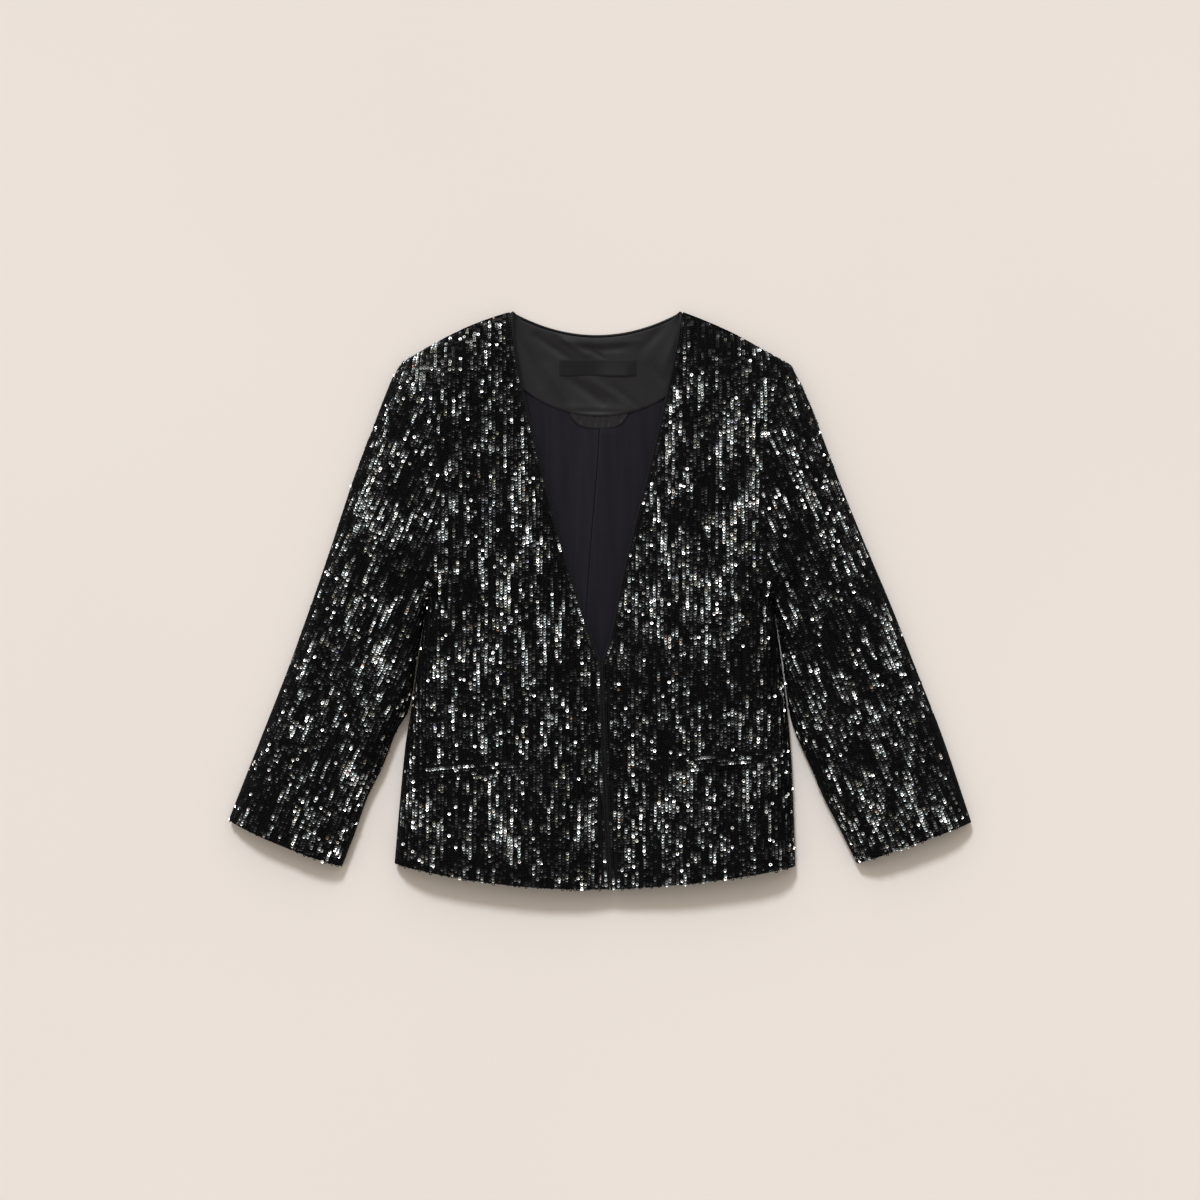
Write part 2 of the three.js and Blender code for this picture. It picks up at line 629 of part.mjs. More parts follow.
function backLining(material) {
  const pleatColumns = PLEAT_PROFILE.length - 1;
  const columns = LINING_COLUMNS + pleatColumns + LINING_COLUMNS;
  const placeAt = (u, v) => {
    const column = Math.round(u * columns);
    const fold = columnAt(PLEAT, lerp(LINING_HEM_LEVEL, FACING_LOW_CENTRE, v), "x");
    const step = column - LINING_COLUMNS;
    const inPleat = PLEAT_PROFILE[Math.min(pleatColumns, Math.max(0, step))];
    let x = fold + inPleat.offset;
    if (step < 0) x = lerp(-LINING_HALF_WIDTH, x, column / LINING_COLUMNS);
    if (step > pleatColumns) x = lerp(x, LINING_HALF_WIDTH, (step - pleatColumns) / LINING_COLUMNS);
    const high = Math.min(facingLow(x), LINING_TOP_LEVEL) - 2 * SEAM_GAP;
    return { x, y: lerp(LINING_HEM_LEVEL, high, v), rise: inPleat.rise };
  };
  const grid = { columns, rows: LINING_ROWS };
  return laidPiece("back_lining", grid, placeAt, lowerHeight, ON_BACK, LINING_WALL, material);
}

function label(material) {
  const placeAt = (u, v) => ({
    x: lerp(LABEL.x0, LABEL.x1, u),
    y: lerp(LABEL.y0, LABEL.y1, v),
    rise: LABEL.lift * smooth((u - LABEL.liftStart) / LABEL.liftRun) * (1 - v) ** 2,
  });
  return laidPiece("label", LABEL_GRID, placeAt, lowerHeight, ON_FACING, LABEL.wall, material);
}

function hangingLoop(material) {
  const { centre, halfWidth, depth, endDepth, wall, cornerPower, sidePower } = LOOP;
  const placeAt = (u, v) => {
    const s = 2 * u - 1;
    const x = centre + halfWidth * s;
    const high = facingLow(x) - SEAM_GAP;
    const low = high - lerp(endDepth, depth, (1 - Math.abs(s) ** cornerPower) ** sidePower);
    return { x, y: lerp(low, high, v), rise: PLEAT_STEP };
  };
  return laidPiece("hanging_loop", LOOP_GRID, placeAt, lowerHeight, ON_FACING, wall, material);
}

function frontPiping(side, material) {
  const { sign } = SIDES[side];
  const top = NECK_LEVEL - PIPING_NECK_END;
  const between = BODY_SHARES.map(frontLevel).slice(1).filter((y) => y < top);
  const path = [HEM_CENTRE + PIPING_HEM_END, ...between, top].map((y) => {
    const out = columnAt(FRONT_EDGE[side], y);
    const z = upperHeight(sign * (out + CLOTH_INSET), y) - WALL / 2;
    return new THREE.Vector3(sign * (out + PIPING_INSET), y, z);
  });
  return cordSolid(`piping_front_${side}`, path, PIPING_RADIUS, material);
}

function backNeckPiping(material) {
  const start = -SIDES.right.neckPoint + NECK_PIPING_END;
  const end = SIDES.left.neckPoint - NECK_PIPING_END;
  const path = ABOVE_SHARES.map((s) => {
    const x = lerp(start, end, s);
    const y = backNeckLevel(x, PIPING_INSET);
    return new THREE.Vector3(x, y, lowerHeight(x, y) + WALL);
  });
  return cordSolid("piping_back_neck", path, PIPING_RADIUS, material);
}

// Colours
const finish = (color, roughness, metalness) => {
  return new THREE.MeshStandardMaterial({ color, roughness, metalness });
};
const sequinCloth = () => finish(0x17181a, 0.35, 0.6);
const satin = () => finish(0x1a191b, 0.4, 0);
const liningCloth = () => finish(0x2c2932, 0.7, 0);

const group = new THREE.Group();
group.add(backPanel(sequinCloth()));
for (const side of Object.keys(SIDES)) {
  const front = frontPanel(side, sequinCloth());
  group.add(front);
  group.add(sleeve(side, sequinCloth()));
  group.add(pocketWelt(side, front, sequinCloth()));
  group.add(frontPiping(side, satin()));
}
group.add(backNeckPiping(satin()));
group.add(neckFacing(satin()));
group.add(backLining(liningCloth()));
group.add(label(satin()));
group.add(hangingLoop(satin()));

export default group;
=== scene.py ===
# Cropped sequin jacket, laid flat on its back on a pale surface and seen from straight above.
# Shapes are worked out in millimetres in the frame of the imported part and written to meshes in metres.
# +X is the wearer's left, +Y the neck, +Z up. "out" is the distance from the centre line, on either side.

import math

import bpy
import numpy as np
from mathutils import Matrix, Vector


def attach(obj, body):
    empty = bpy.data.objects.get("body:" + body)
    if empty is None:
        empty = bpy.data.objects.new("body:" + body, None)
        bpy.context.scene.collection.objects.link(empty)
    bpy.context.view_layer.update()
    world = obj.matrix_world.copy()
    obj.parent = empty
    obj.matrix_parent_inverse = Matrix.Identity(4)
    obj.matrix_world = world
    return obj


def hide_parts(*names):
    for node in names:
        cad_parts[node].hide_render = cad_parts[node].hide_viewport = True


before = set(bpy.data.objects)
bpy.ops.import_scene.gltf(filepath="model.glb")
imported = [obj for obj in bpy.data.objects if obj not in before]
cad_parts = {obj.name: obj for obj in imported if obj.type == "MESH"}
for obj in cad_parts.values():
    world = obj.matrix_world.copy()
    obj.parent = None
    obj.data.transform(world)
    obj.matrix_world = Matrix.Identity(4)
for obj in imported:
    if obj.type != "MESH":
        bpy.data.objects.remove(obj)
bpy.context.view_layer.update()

MM = 0.001
BODY = "root"


# Driving dimensions, in millimetres, as in the part

EDGE_HEIGHT = 7.0
UNDER_ROLL = 9.0
OUTER_ROLL = 42.0
SIDE_ROLL = 34.0
CHEST_HEIGHT = 28.0
SLEEVE_HEIGHT = 24.0
FRONT_EDGE_FALL = 80.0
FRONT_EDGE_LEAD = 12.0
SLEEVE_START = 150.0
SLEEVE_BLEND = 110.0
WALL = 2.0
PIPING_INSET = 1.55
CLOTH_INSET = 3.3
BACK_NECK_DEPTH = 22.5
NECK_LEVEL = 288.0
HEM_CENTRE = -288.0
BACK_HEM_DROP = 19.0


def table(columns, *rows):
    """A short table with named columns, a row for each place."""
    return {name: np.array(values, float) for name, values in zip(columns.split(), zip(*rows))}


def rows_of(rows):
    """The rows of such a table, one after another."""
    return zip(*rows.values())


OUTER_SLEEVE = {
    "right": table("y out", (239, 197), (226, 206), (210, 213), (184, 223), (120, 247), (56, 268),
                   (-8, 290), (-72, 313), (-136, 338), (-220, 371)),
    "left": table("y out", (235, 191), (226, 196), (210, 204), (184, 215), (120, 239), (56, 265),
                  (-8, 292), (-72, 317), (-136, 342), (-222, 371)),
}
INNER_SLEEVE = {
    "right": table("y out", (0, 172), (-56, 182), (-110, 191.5), (-130, 203), (-168, 218),
                   (-196, 232), (-232, 245), (-266, 258)),
    "left": table("y out", (0, 172), (-56, 181.5), (-114, 189.5), (-139, 198), (-170, 212),
                  (-200, 225), (-227, 239), (-263, 257)),
}
BODY_SIDE = {
    "right": table("y out", (0, 172), (-56, 180.5), (-113, 189), (-144, 194), (-205, 200), (-263, 205)),
    "left": table("y out", (0, 172), (-56, 180), (-113, 187), (-159, 191), (-205, 193), (-266, 195)),
}
ARMHOLE = {
    "right": table("y out", (239, 197), (200, 175), (150, 163), (90, 159), (35, 165), (0, 172)),
    "left": table("y out", (235, 191), (200, 174), (150, 163), (90, 159), (35, 165), (0, 172)),
}
FRONT_EDGE = {
    "right": table("y out height", (288, 87, 13), (256, 84.5, 13), (206, 75.5, 13), (142, 60, 13),
                   (40, 33, 14), (-40, 7.5, 16), (-64, -1.1, 17), (-90, -1.9, 17), (-120, -2.9, 17),
                   (-160, -4, 18), (-225, -6.8, 20), (-288, -10, 23)),
    "left": table("y out height", (288, 80, 13), (256, 76, 13), (206, 66, 13), (142, 51, 13),
                  (40, 25.5, 14), (-40, 9, 16), (-64, 1.2, 17), (-90, 1.9, 17), (-120, 2.9, 17),
                  (-160, 4, 18), (-225, 6.8, 20), (-288, 10, 23)),
}
SIDES = {
    "right": {"sign": -1, "neck_point": 87.0, "shoulder_bow": 4.7, "hem_bow": 7.3, "cuff_bow": 3.0},
    "left": {"sign": 1, "neck_point": 80.0, "shoulder_bow": 3.3, "hem_bow": 3.5, "cuff_bow": 0.5},
}

# Soft troughs (and, where depth is negative, ridges) of the upper layer, largest first.
FOLDS = table(
    "x0 y0 x1 y1 width depth",
    (-120, 195, -112, -40, 17, 5), (106, 205, 112, 20, 14, 4.5), (-186, 60, -205, -70, 15, 5),
    (196, 60, 222, -90, 16, 5.5), (-60, -20, -72, -240, 15, 3), (62, -90, 54, -262, 16, 3.5),
    (-262, -40, -300, -150, 13, 3.5), (290, -60, 318, -180, 13, 3.5), (150, -110, 128, -250, 14, 3),
    (-152, -90, -150, -235, 13, 3),
)


# Smaller creases of the upper layer, at the armpits, elbows and waist.
CREASES = table(
    "x0 y0 x1 y1 width depth",
    (-168, 20, -128, 48, 7, 1.6), (-165, -8, -120, -30, 8, 1.9), (-200, 40, -176, 8, 7, 1.9),
    (-215, -10, -240, -62, 8, 1.7), (-276, -95, -244, -118, 7, 1.6), (-292, -140, -262, -158, 6, 1.3),
    (165, 22, 128, 46, 7, 1.6), (166, -10, 118, -26, 8, 1.8), (204, 30, 186, -6, 7, 1.8),
    (262, -70, 232, -96, 8, 1.6), (318, -110, 292, -150, 7, 1.4), (-36, -60, -58, -118, 9, 1.4),
    (34, -70, 52, -128, 9, -1.3), (-100, -60, -96, -140, 10, -1.5), (88, -40, 96, -120, 10, -1.4),
    (-140, 215, -128, 150, 9, 1.4), (130, 222, 124, 160, 9, 1.3), (-232, 150, -214, 90, 9, 1.5),
    (236, 140, 214, 96, 9, 1.4),
)

# Creases of the lower layer, which lift it a little off the surface it lies on.
UNDER_CREASES = table(
    "x0 y0 x1 y1 width depth",
    (-90, 150, -60, -20, 9, 1.4), (70, 120, 96, -60, 10, 1.3), (-20, -40, -34, -230, 12, 1.2),
    (48, -110, 40, -250, 11, 1.3), (-130, -60, -112, -210, 10, 1.4), (128, 20, 138, -150, 9, 1.2),
    (-228, 60, -252, -60, 8, 1.3), (232, 40, 262, -80, 8, 1.4), (-284, -120, -306, -200, 7, 1.1),
    (296, -130, 320, -205, 7, 1.2), (-8, 150, -14, 40, 10, 1.0),
)


# Curves and the heights of both layers

def column_at(rows, y, column="out"):
    """Value of one column of a table at y: a cubic through its rows."""
    order = np.argsort(rows["y"])
    at, value = rows["y"][order], rows[column][order]
    slope = np.empty(len(at))
    slope[1:-1] = (value[2:] - value[:-2]) / (at[2:] - at[:-2])
    slope[0] = (value[1] - value[0]) / (at[1] - at[0])
    slope[-1] = (value[-1] - value[-2]) / (at[-1] - at[-2])
    y = np.asarray(y, float)
    i = np.clip(np.searchsorted(at, y) - 1, 0, len(at) - 2)
    h = at[i + 1] - at[i]
    t = np.clip((y - at[i]) / h, 0, 1)
    blend = value[i] * (1 + 2 * t) * (1 - t) ** 2 + value[i + 1] * t * t * (3 - 2 * t)
    return blend + h * slope[i] * t * (1 - t) ** 2 - h * slope[i + 1] * t * t * (1 - t)


def smooth(t):
    t = np.clip(t, 0, 1)
    return t * t * (3 - 2 * t)


def tip(side):
    return ARMHOLE[side]["out"][0], ARMHOLE[side]["y"][0]


def shoulder_line(side, t):
    """The shoulder seam, from the sleeve's tip (t = 0) to the neck point (t = 1)."""
    part = SIDES[side]
    out, y = tip(side)
    bow = part["shoulder_bow"] * 4 * t * (1 - t)
    return part["sign"] * (out + (part["neck_point"] - out) * t), y + (NECK_LEVEL - y) * t + bow


def table_line(side, rows, t):
    y = rows[side]["y"][0] + (rows[side]["y"][-1] - rows[side]["y"][0]) * t
    return SIDES[side]["sign"] * column_at(rows[side], y), y


OUTLINE_STEPS = 60
BATCH = 4096                    # points compared with an outline at a time


def folded_edges():
    """Segments of the folded edges (x0, y0, x1, y1), and the width of the upper layer's roll to each."""
    t = np.linspace(0, 1, OUTLINE_STEPS + 1)
    segments, rolls = [], []
    for side in SIDES:
        lines = [(shoulder_line(side, t), OUTER_ROLL), (table_line(side, OUTER_SLEEVE, t), OUTER_ROLL),
                 (table_line(side, INNER_SLEEVE, t), SIDE_ROLL), (table_line(side, BODY_SIDE, t), SIDE_ROLL)]
        for (x, y), roll in lines:
            segments.append(np.column_stack([x[:-1], y[:-1], x[1:], y[1:]]))
            rolls.append(np.full(OUTLINE_STEPS, roll))
    return np.concatenate(segments), np.concatenate(rolls)


EDGE_SEGMENTS, EDGE_ROLLS = folded_edges()


def nearest_segment(x, y, segments, rolls):
    """Share of the roll's width from the nearest segment, with its gradient."""
    x, y = np.ravel(x), np.ravel(y)
    share, gx, gy = np.empty(len(x)), np.empty(len(x)), np.empty(len(x))
    start = segments[:, :2]
    run = segments[:, 2:] - start
    for low in range(0, len(x), BATCH):
        cut = slice(low, low + BATCH)
        dx = x[cut, None] - start[:, 0]
        dy = y[cut, None] - start[:, 1]
        t = np.clip((dx * run[:, 0] + dy * run[:, 1]) / (run ** 2).sum(1), 0, 1)
        dx = dx - t * run[:, 0]
        dy = dy - t * run[:, 1]
        ratio = np.hypot(dx, dy) / rolls
        best = ratio.argmin(1)
        row = np.arange(len(best))
        share[cut] = ratio[row, best]
        far = np.maximum(np.hypot(dx[row, best], dy[row, best]), 1e-6)
        gx[cut] = dx[row, best] / far / rolls[best]
        gy[cut] = dy[row, best] / far / rolls[best]
    return share, gx, gy


FOLD_END = 0.35                 # a fold starts at this share of its depth
FOLD_TAPER = 0.08               # and is this share of a half wave in when it starts


def fold_depth(x, y, folds):
    """How far the folds of a table take a face in, at (x, y)."""
    depth = 0.0
    for x0, y0, x1, y1, width, deep in rows_of(folds):
        dx, dy = x1 - x0, y1 - y0
        t = np.clip(((x - x0) * dx + (y - y0) * dy) / (dx * dx + dy * dy), 0, 1)
        away = np.hypot(x - x0 - t * dx, y - y0 - t * dy)
        along = FOLD_END + (1 - FOLD_END) * np.sin(math.pi * (FOLD_TAPER + (1 - 2 * FOLD_TAPER) * t))
        depth = depth + deep * along * np.exp(-((away / width) ** 2))
    return depth


def full_height(x, y):
    """Height of the upper layer away from its rolled edges."""
    out = np.abs(x)
    level = np.clip(y, HEM_CENTRE, NECK_LEVEL)
    edge = np.where(x < 0, column_at(FRONT_EDGE["right"], level), column_at(FRONT_EDGE["left"], level))
    height = np.where(x < 0, column_at(FRONT_EDGE["right"], level, "height"),
                      column_at(FRONT_EDGE["left"], level, "height"))
    body = height + (CHEST_HEIGHT - height) * smooth((out - edge + FRONT_EDGE_LEAD) / FRONT_EDGE_FALL)
    sunk = fold_depth(x, y, FOLDS) + fold_depth(x, y, CREASES)
    return body + (SLEEVE_HEIGHT - body) * smooth((out - SLEEVE_START) / SLEEVE_BLEND) - sunk


SLOPE_STEP = 0.4                # half the distance over which a slope is measured
LEAST_RISE = 0.02               # keeps the slope finite at a folded edge


def surface(x, y, upper):
    """Height and unit normal of the outer face of the upper or the lower layer at (x, y)."""
    shape = np.shape(x)
    x, y = np.ravel(np.asarray(x, float)), np.ravel(np.asarray(y, float))
    rolls = EDGE_ROLLS if upper else np.full(len(EDGE_ROLLS), UNDER_ROLL)
    share, gx, gy = nearest_segment(x, y, EDGE_SEGMENTS, rolls)
    inside = share < 1
    s = np.minimum(share, 1)
    rise = np.sqrt(np.maximum(0, 1 - (1 - s) ** 2))
    steep = np.where(inside, (1 - s) / np.maximum(rise, LEAST_RISE), 0)
    h = SLOPE_STEP
    if upper:
        full = full_height(x, y)
        fx = (full_height(x + h, y) - full_height(x - h, y)) / (2 * h)
        fy = (full_height(x, y + h) - full_height(x, y - h)) / (2 * h)
        z = EDGE_HEIGHT + (full - EDGE_HEIGHT) * rise
        zx = rise * fx + (full - EDGE_HEIGHT) * steep * gx
        zy = rise * fy + (full - EDGE_HEIGHT) * steep * gy
        normal = np.column_stack([-zx, -zy, np.ones(len(x))])
    else:
        lift = fold_depth(x, y, UNDER_CREASES)
        lx = (fold_depth(x + h, y, UNDER_CREASES) - fold_depth(x - h, y, UNDER_CREASES)) / (2 * h)
        ly = (fold_depth(x, y + h, UNDER_CREASES) - fold_depth(x, y - h, UNDER_CREASES)) / (2 * h)
        z = EDGE_HEIGHT * (1 - rise) + lift * rise
        zx = (lift - EDGE_HEIGHT) * steep * gx + lx * rise
        zy = (lift - EDGE_HEIGHT) * steep * gy + ly * rise
        normal = np.column_stack([zx, zy, -np.ones(len(x))])
    normal /= np.linalg.norm(normal, axis=1)[:, None]
    return z.reshape(shape), normal.reshape(shape + (3,))


# Meshes

def new_object(name, points, faces, material_index=None):
    """A mesh object at the origin from points in millimetres and faces of one size."""
    faces = np.asarray(faces)
    mesh = bpy.data.meshes.new(name)
    mesh.vertices.add(len(points))
    mesh.vertices.foreach_set("co", (np.asarray(points, float) * MM).ravel())
    count, size = faces.shape
    mesh.loops.add(count * size)
    mesh.loops.foreach_set("vertex_index", faces.ravel())
    mesh.polygons.add(count)
    mesh.polygons.foreach_set("loop_start", np.arange(count) * size)
    if material_index is not None:
        mesh.polygons.foreach_set("material_index", material_index)
    mesh.update(calc_edges=True)
    mesh.validate()
    piece = bpy.data.objects.new(name, mesh)
    bpy.context.collection.objects.link(piece)
    return piece


def grid_faces(rows, columns, ring=False):
    r, c = np.meshgrid(np.arange(rows - 1), np.arange(columns if ring else columns - 1), indexing="ij")
    r, c = r.ravel(), c.ravel()
    after = (c + 1) % columns
    near, far = r * columns, (r + 1) * columns
    return np.column_stack([near + c, near + after, far + after, far + c])


def only(piece):
    bpy.ops.object.select_all(action="DESELECT")
    piece.select_set(True)
    bpy.context.view_layer.objects.active = piece


def turn_outwards(piece):
    only(piece)
    bpy.ops.object.mode_set(mode="EDIT")
    bpy.ops.mesh.select_all(action="SELECT")
    bpy.ops.mesh.normals_make_consistent(inside=False)
    bpy.ops.object.mode_set(mode="OBJECT")


FLOOR_GAP = 0.05                # least height of any cloth over the surface


def cloth(name, points, outward, wall, lift=0.0, ring=False):
    """A cloth wall from a grid of points, moved out by lift. outward is the rough normal of the grid's
    middle, and ring joins the last column to the first."""
    rows, columns = points.shape[:2]
    faces = grid_faces(rows, columns, ring)
    flat = points.reshape(-1, 3)
    middle = faces[(rows // 2) * (columns if ring else columns - 1) + (0 if ring else columns // 2)]
    a, b, c = flat[middle[0]], flat[middle[1]], flat[middle[2]]
    if np.dot(np.cross(b - a, c - a), outward) < 0:
        faces = faces[:, ::-1]
    piece = new_object(name, flat, faces)
    mesh = piece.data
    normals = np.empty(3 * len(mesh.vertices))
    mesh.vertices.foreach_get("normal", normals)
    place = flat + lift * normals.reshape(-1, 3)
    mesh.vertices.foreach_set("co", (place * MM).ravel())
    only(piece)
    thick = piece.modifiers.new("wall", "SOLIDIFY")
    thick.thickness = wall * MM
    thick.offset = -1
    thick.use_even_offset = False
    thick.material_offset = 1
    bpy.ops.object.modifier_apply(modifier=thick.name)
    place = np.empty(3 * len(mesh.vertices))
    mesh.vertices.foreach_get("co", place)
    place[2::3] = np.maximum(place[2::3], FLOOR_GAP * MM)
    mesh.vertices.foreach_set("co", place)
    bpy.ops.object.shade_smooth_by_angle(angle=math.radians(50))
    return piece


# Outlines of the cut pieces in plan

SLEEVE_RUN = (0.40, -0.916)     # direction of the sleeve's grain in plan, outwards and down
OUTLINE_SIDE_POINTS = 40
OUTLINE_TOP_POINTS = 30
OUTLINE_SLEEVE_POINTS = 60


def outline_shares():
    below = np.linspace(-1, 0, OUTLINE_SIDE_POINTS)
    return np.concatenate([below, np.linspace(0, 1, OUTLINE_SIDE_POINTS)[1:]])


def body_side_line(side, share):
    """The body's side: share is -1 at the hem, 0 at the underarm and 1 at the shoulder's tip."""
    below = table_line(side, BODY_SIDE, np.clip(-share, 0, 1))
    above = table_line(side, ARMHOLE, 1 - np.clip(share, 0, 1))
    return np.where(share < 0, below[0], above[0]), np.where(share < 0, below[1], above[1])


def front_row_ends(side, share, inset=CLOTH_INSET):
    """Side end, front end and bow of a row of the front."""
    part = SIDES[side]
    level = np.where(share < 0, -share * HEM_CENTRE, share * NECK_LEVEL)
    end = part["sign"] * (column_at(FRONT_EDGE[side], level) + inset)
    bow = np.where(share < 0, -part["hem_bow"] * share ** 2, part["shoulder_bow"] * share ** 2)
    return body_side_line(side, share), (end, level), bow


def front_outline(side, inset):
    """The front's outline in plan, as a closed polygon, with its front edge drawn in."""
    side_line, edge, _ = front_row_ends(side, outline_shares(), inset)
    t = np.linspace(0, 1, OUTLINE_TOP_POINTS)
    top = np.column_stack(shoulder_line(side, t))
    (ax, ay), (bx, by), bow = front_row_ends(side, np.array([-1.0]), inset)
    hem = np.column_stack([bx + (ax - bx) * t, by + (ay - by) * t + bow * 4 * t * (1 - t) - HEM_OVERHANG])
    return np.concatenate([np.column_stack(side_line), top[1:], np.column_stack(edge)[-2::-1], hem[1:-1]])


def back_neck_level(x, inset=0.0):
    centre = (SIDES["left"]["neck_point"] - SIDES["right"]["neck_point"]) / 2
    half = (SIDES["left"]["neck_point"] + SIDES["right"]["neck_point"]) / 2
    u = np.minimum(1, np.abs(x - centre) / half)
    slope = 2 * u * BACK_NECK_DEPTH / half
    return NECK_LEVEL - BACK_NECK_DEPTH * (1 - u * u) - inset * np.hypot(1, slope)


def back_hem_line(t):
    x0, y0 = body_side_line("right", np.array(-1.0))
    x1, y1 = body_side_line("left", np.array(-1.0))
    return x0 + (x1 - x0) * t, y0 + (y1 - y0) * t - BACK_HEM_DROP * 4 * t * (1 - t)


def back_outline():
    """The back's outline in plan, as a closed polygon, with its neck drawn in."""
    share = outline_shares()
    t = np.linspace(0, 1, OUTLINE_TOP_POINTS)
    right, left = (np.column_stack(body_side_line(side, share)) for side in SIDES)
    top_right, top_left = (np.column_stack(shoulder_line(side, t)) for side in SIDES)
    neck_ends = -SIDES["right"]["neck_point"], SIDES["left"]["neck_point"]
    neck_x = np.linspace(*neck_ends, OUTLINE_SIDE_POINTS)[1:-1]
    neck = np.column_stack([neck_x, back_neck_level(neck_x, CLOTH_INSET)])
    hem = np.column_stack(back_hem_line(t))
    return np.concatenate([right, top_right[1:], neck, top_left[::-1], left[-2::-1], hem[-2:0:-1]])


def sleeve_place(side, t, s):
    """Plan of the sleeve: t from armhole to cuff, s from the outer fold to the inner fold."""
    part = SIDES[side]
    ox, oy = table_line(side, OUTER_SLEEVE, t)
    ix, iy = table_line(side, INNER_SLEEVE, t)
    ax, _ = table_line(side, ARMHOLE, s)
    start_x = table_line(side, OUTER_SLEEVE, 0.0)[0]
    end_x = table_line(side, INNER_SLEEVE, 0.0)[0]
    x = ox + (ix - ox) * s + (ax - start_x - (end_x - start_x) * s) * (1 - t) ** 2
    y = oy + (iy - oy) * s - part["cuff_bow"] * t * t * 4 * s * (1 - s)
    return x, y


def sleeve_run(side):
    return SIDES[side]["sign"] * SLEEVE_RUN[0], SLEEVE_RUN[1]


def sleeve_outline(side):
    """The sleeve's outline in plan, as a closed polygon."""
    t = np.linspace(0, 1, OUTLINE_SLEEVE_POINTS)
    armhole = np.column_stack(sleeve_place(side, 0.0, t))
    cuff = np.column_stack(sleeve_place(side, 1.0, t)) + np.array(sleeve_run(side)) * HEM_OVERHANG
    outer = np.column_stack(table_line(side, OUTER_SLEEVE, t))
    inner = np.column_stack(table_line(side, INNER_SLEEVE, t))
    return np.concatenate([armhole, inner[1:], cuff[-2::-1], outer[-2:0:-1]])


# Cloth of the panels

GROUND_DEPTH = {"front": 0.9, "back": 0.7, "sleeve": 0.8}      # from the outer face in to the cloth
GROUND_WALL = 0.8
SIDE_EASE = 1.1                 # takes the folded edges out by what the cloth lies under its sequins
SIDE_EASE_FADE = 9.0
SIDE_EASE_END = 0.1             # share of the armhole's height where that ends


def crowded_ends(count):
    return (1 - np.cos(np.linspace(0, math.pi, count))) / 2


def row_shares(below, above):
    return np.concatenate([-((1 - np.arange(below) / below) ** 1.4), crowded_ends(above)])


def front_cloth(side):
    share = row_shares(60, 60)
    (sx, sy), (ex, ey), bow = front_row_ends(side, share)
    length = np.hypot(ex - sx, ey - sy)
    widths = SIDE_ROLL * (1 - np.cos(np.linspace(0, math.pi / 2, 14)))
    near = widths[None, :] / length[:, None]
    rest = np.linspace(0, 1, 34)[1:]
    u = np.concatenate([near, near[:, -1:] + (1 - near[:, -1:]) * rest], axis=1)
    x = sx[:, None] + (ex - sx)[:, None] * u
    y = sy[:, None] + (ey - sy)[:, None] * u + bow[:, None] * 4 * u * (1 - u)
    z, _ = surface(x, y, True)
    z[share <= 0, 0] = EDGE_HEIGHT
    z[-1, :] = EDGE_HEIGHT
    below = smooth(1 - share / SIDE_EASE_END)[:, None]
    x = x + SIDES[side]["sign"] * SIDE_EASE * below * np.exp(-u * length[:, None] / SIDE_EASE_FADE)
    return cloth(f"front_{side}_cloth", np.dstack([x, y, z]), (0, 0, 1), GROUND_WALL,
                 -GROUND_DEPTH["front"])


def back_cloth():
    share = row_shares(40, 44)
    right, left = body_side_line("right", share), body_side_line("left", share)
    span = tip("right")[0] + tip("left")[0]
    neck_start = (tip("right")[0] - SIDES["right"]["neck_point"]) / span
    neck_end = (tip("right")[0] + SIDES["left"]["neck_point"]) / span
    roll = UNDER_ROLL / span * (1 - np.cos(np.linspace(0, math.pi / 2, 8)))
    shoulder = np.linspace(roll[-1], neck_start, 12)[1:-1]
    w = np.concatenate([roll, shoulder, neck_start + (neck_end - neck_start) * crowded_ends(32)])
    mirror = 1 - np.concatenate([roll, np.linspace(roll[-1], 1 - neck_end, 12)[1:-1]])[::-1]
    w = np.concatenate([w, mirror])
    ends = (1 - w) / (1 - neck_end)
    top_x = -tip("right")[0] + span * w
    neck_y = back_neck_level(top_x, CLOTH_INSET)
    neck_and_left = np.where(w >= neck_end, shoulder_line("left", ends)[1], neck_y)
    top_y = np.where(w <= neck_start, shoulder_line("right", w / neck_start)[1], neck_and_left)
    x = right[0][:, None] + (left[0] - right[0])[:, None] * w
    y = right[1][:, None] + (left[1] - right[1])[:, None] * w
    tips = tip("right")[1] + (tip("left")[1] - tip("right")[1]) * w
    up = np.clip(share, 0, 1)[:, None]
    down = np.clip(-share, 0, 1)[:, None]
    y = y + (top_y - tips) * up ** 1.5 - BACK_HEM_DROP * down ** 2 * 4 * w * (1 - w)
    z, _ = surface(x, y, False)
    z[:, 0] = np.where(share <= 0, EDGE_HEIGHT, z[:, 0])
    z[:, -1] = np.where(share <= 0, EDGE_HEIGHT, z[:, -1])
    z[-1, (w <= neck_start) | (w >= neck_end)] = EDGE_HEIGHT
    below = smooth(1 - share / SIDE_EASE_END)[:, None]
    x = x + SIDE_EASE * below * (np.exp((w - 1) * span / SIDE_EASE_FADE) - np.exp(-w * span / SIDE_EASE_FADE))
    return cloth("back_cloth", np.dstack([x, y, z]), (0, 0, -1), GROUND_WALL, -GROUND_DEPTH["back"])


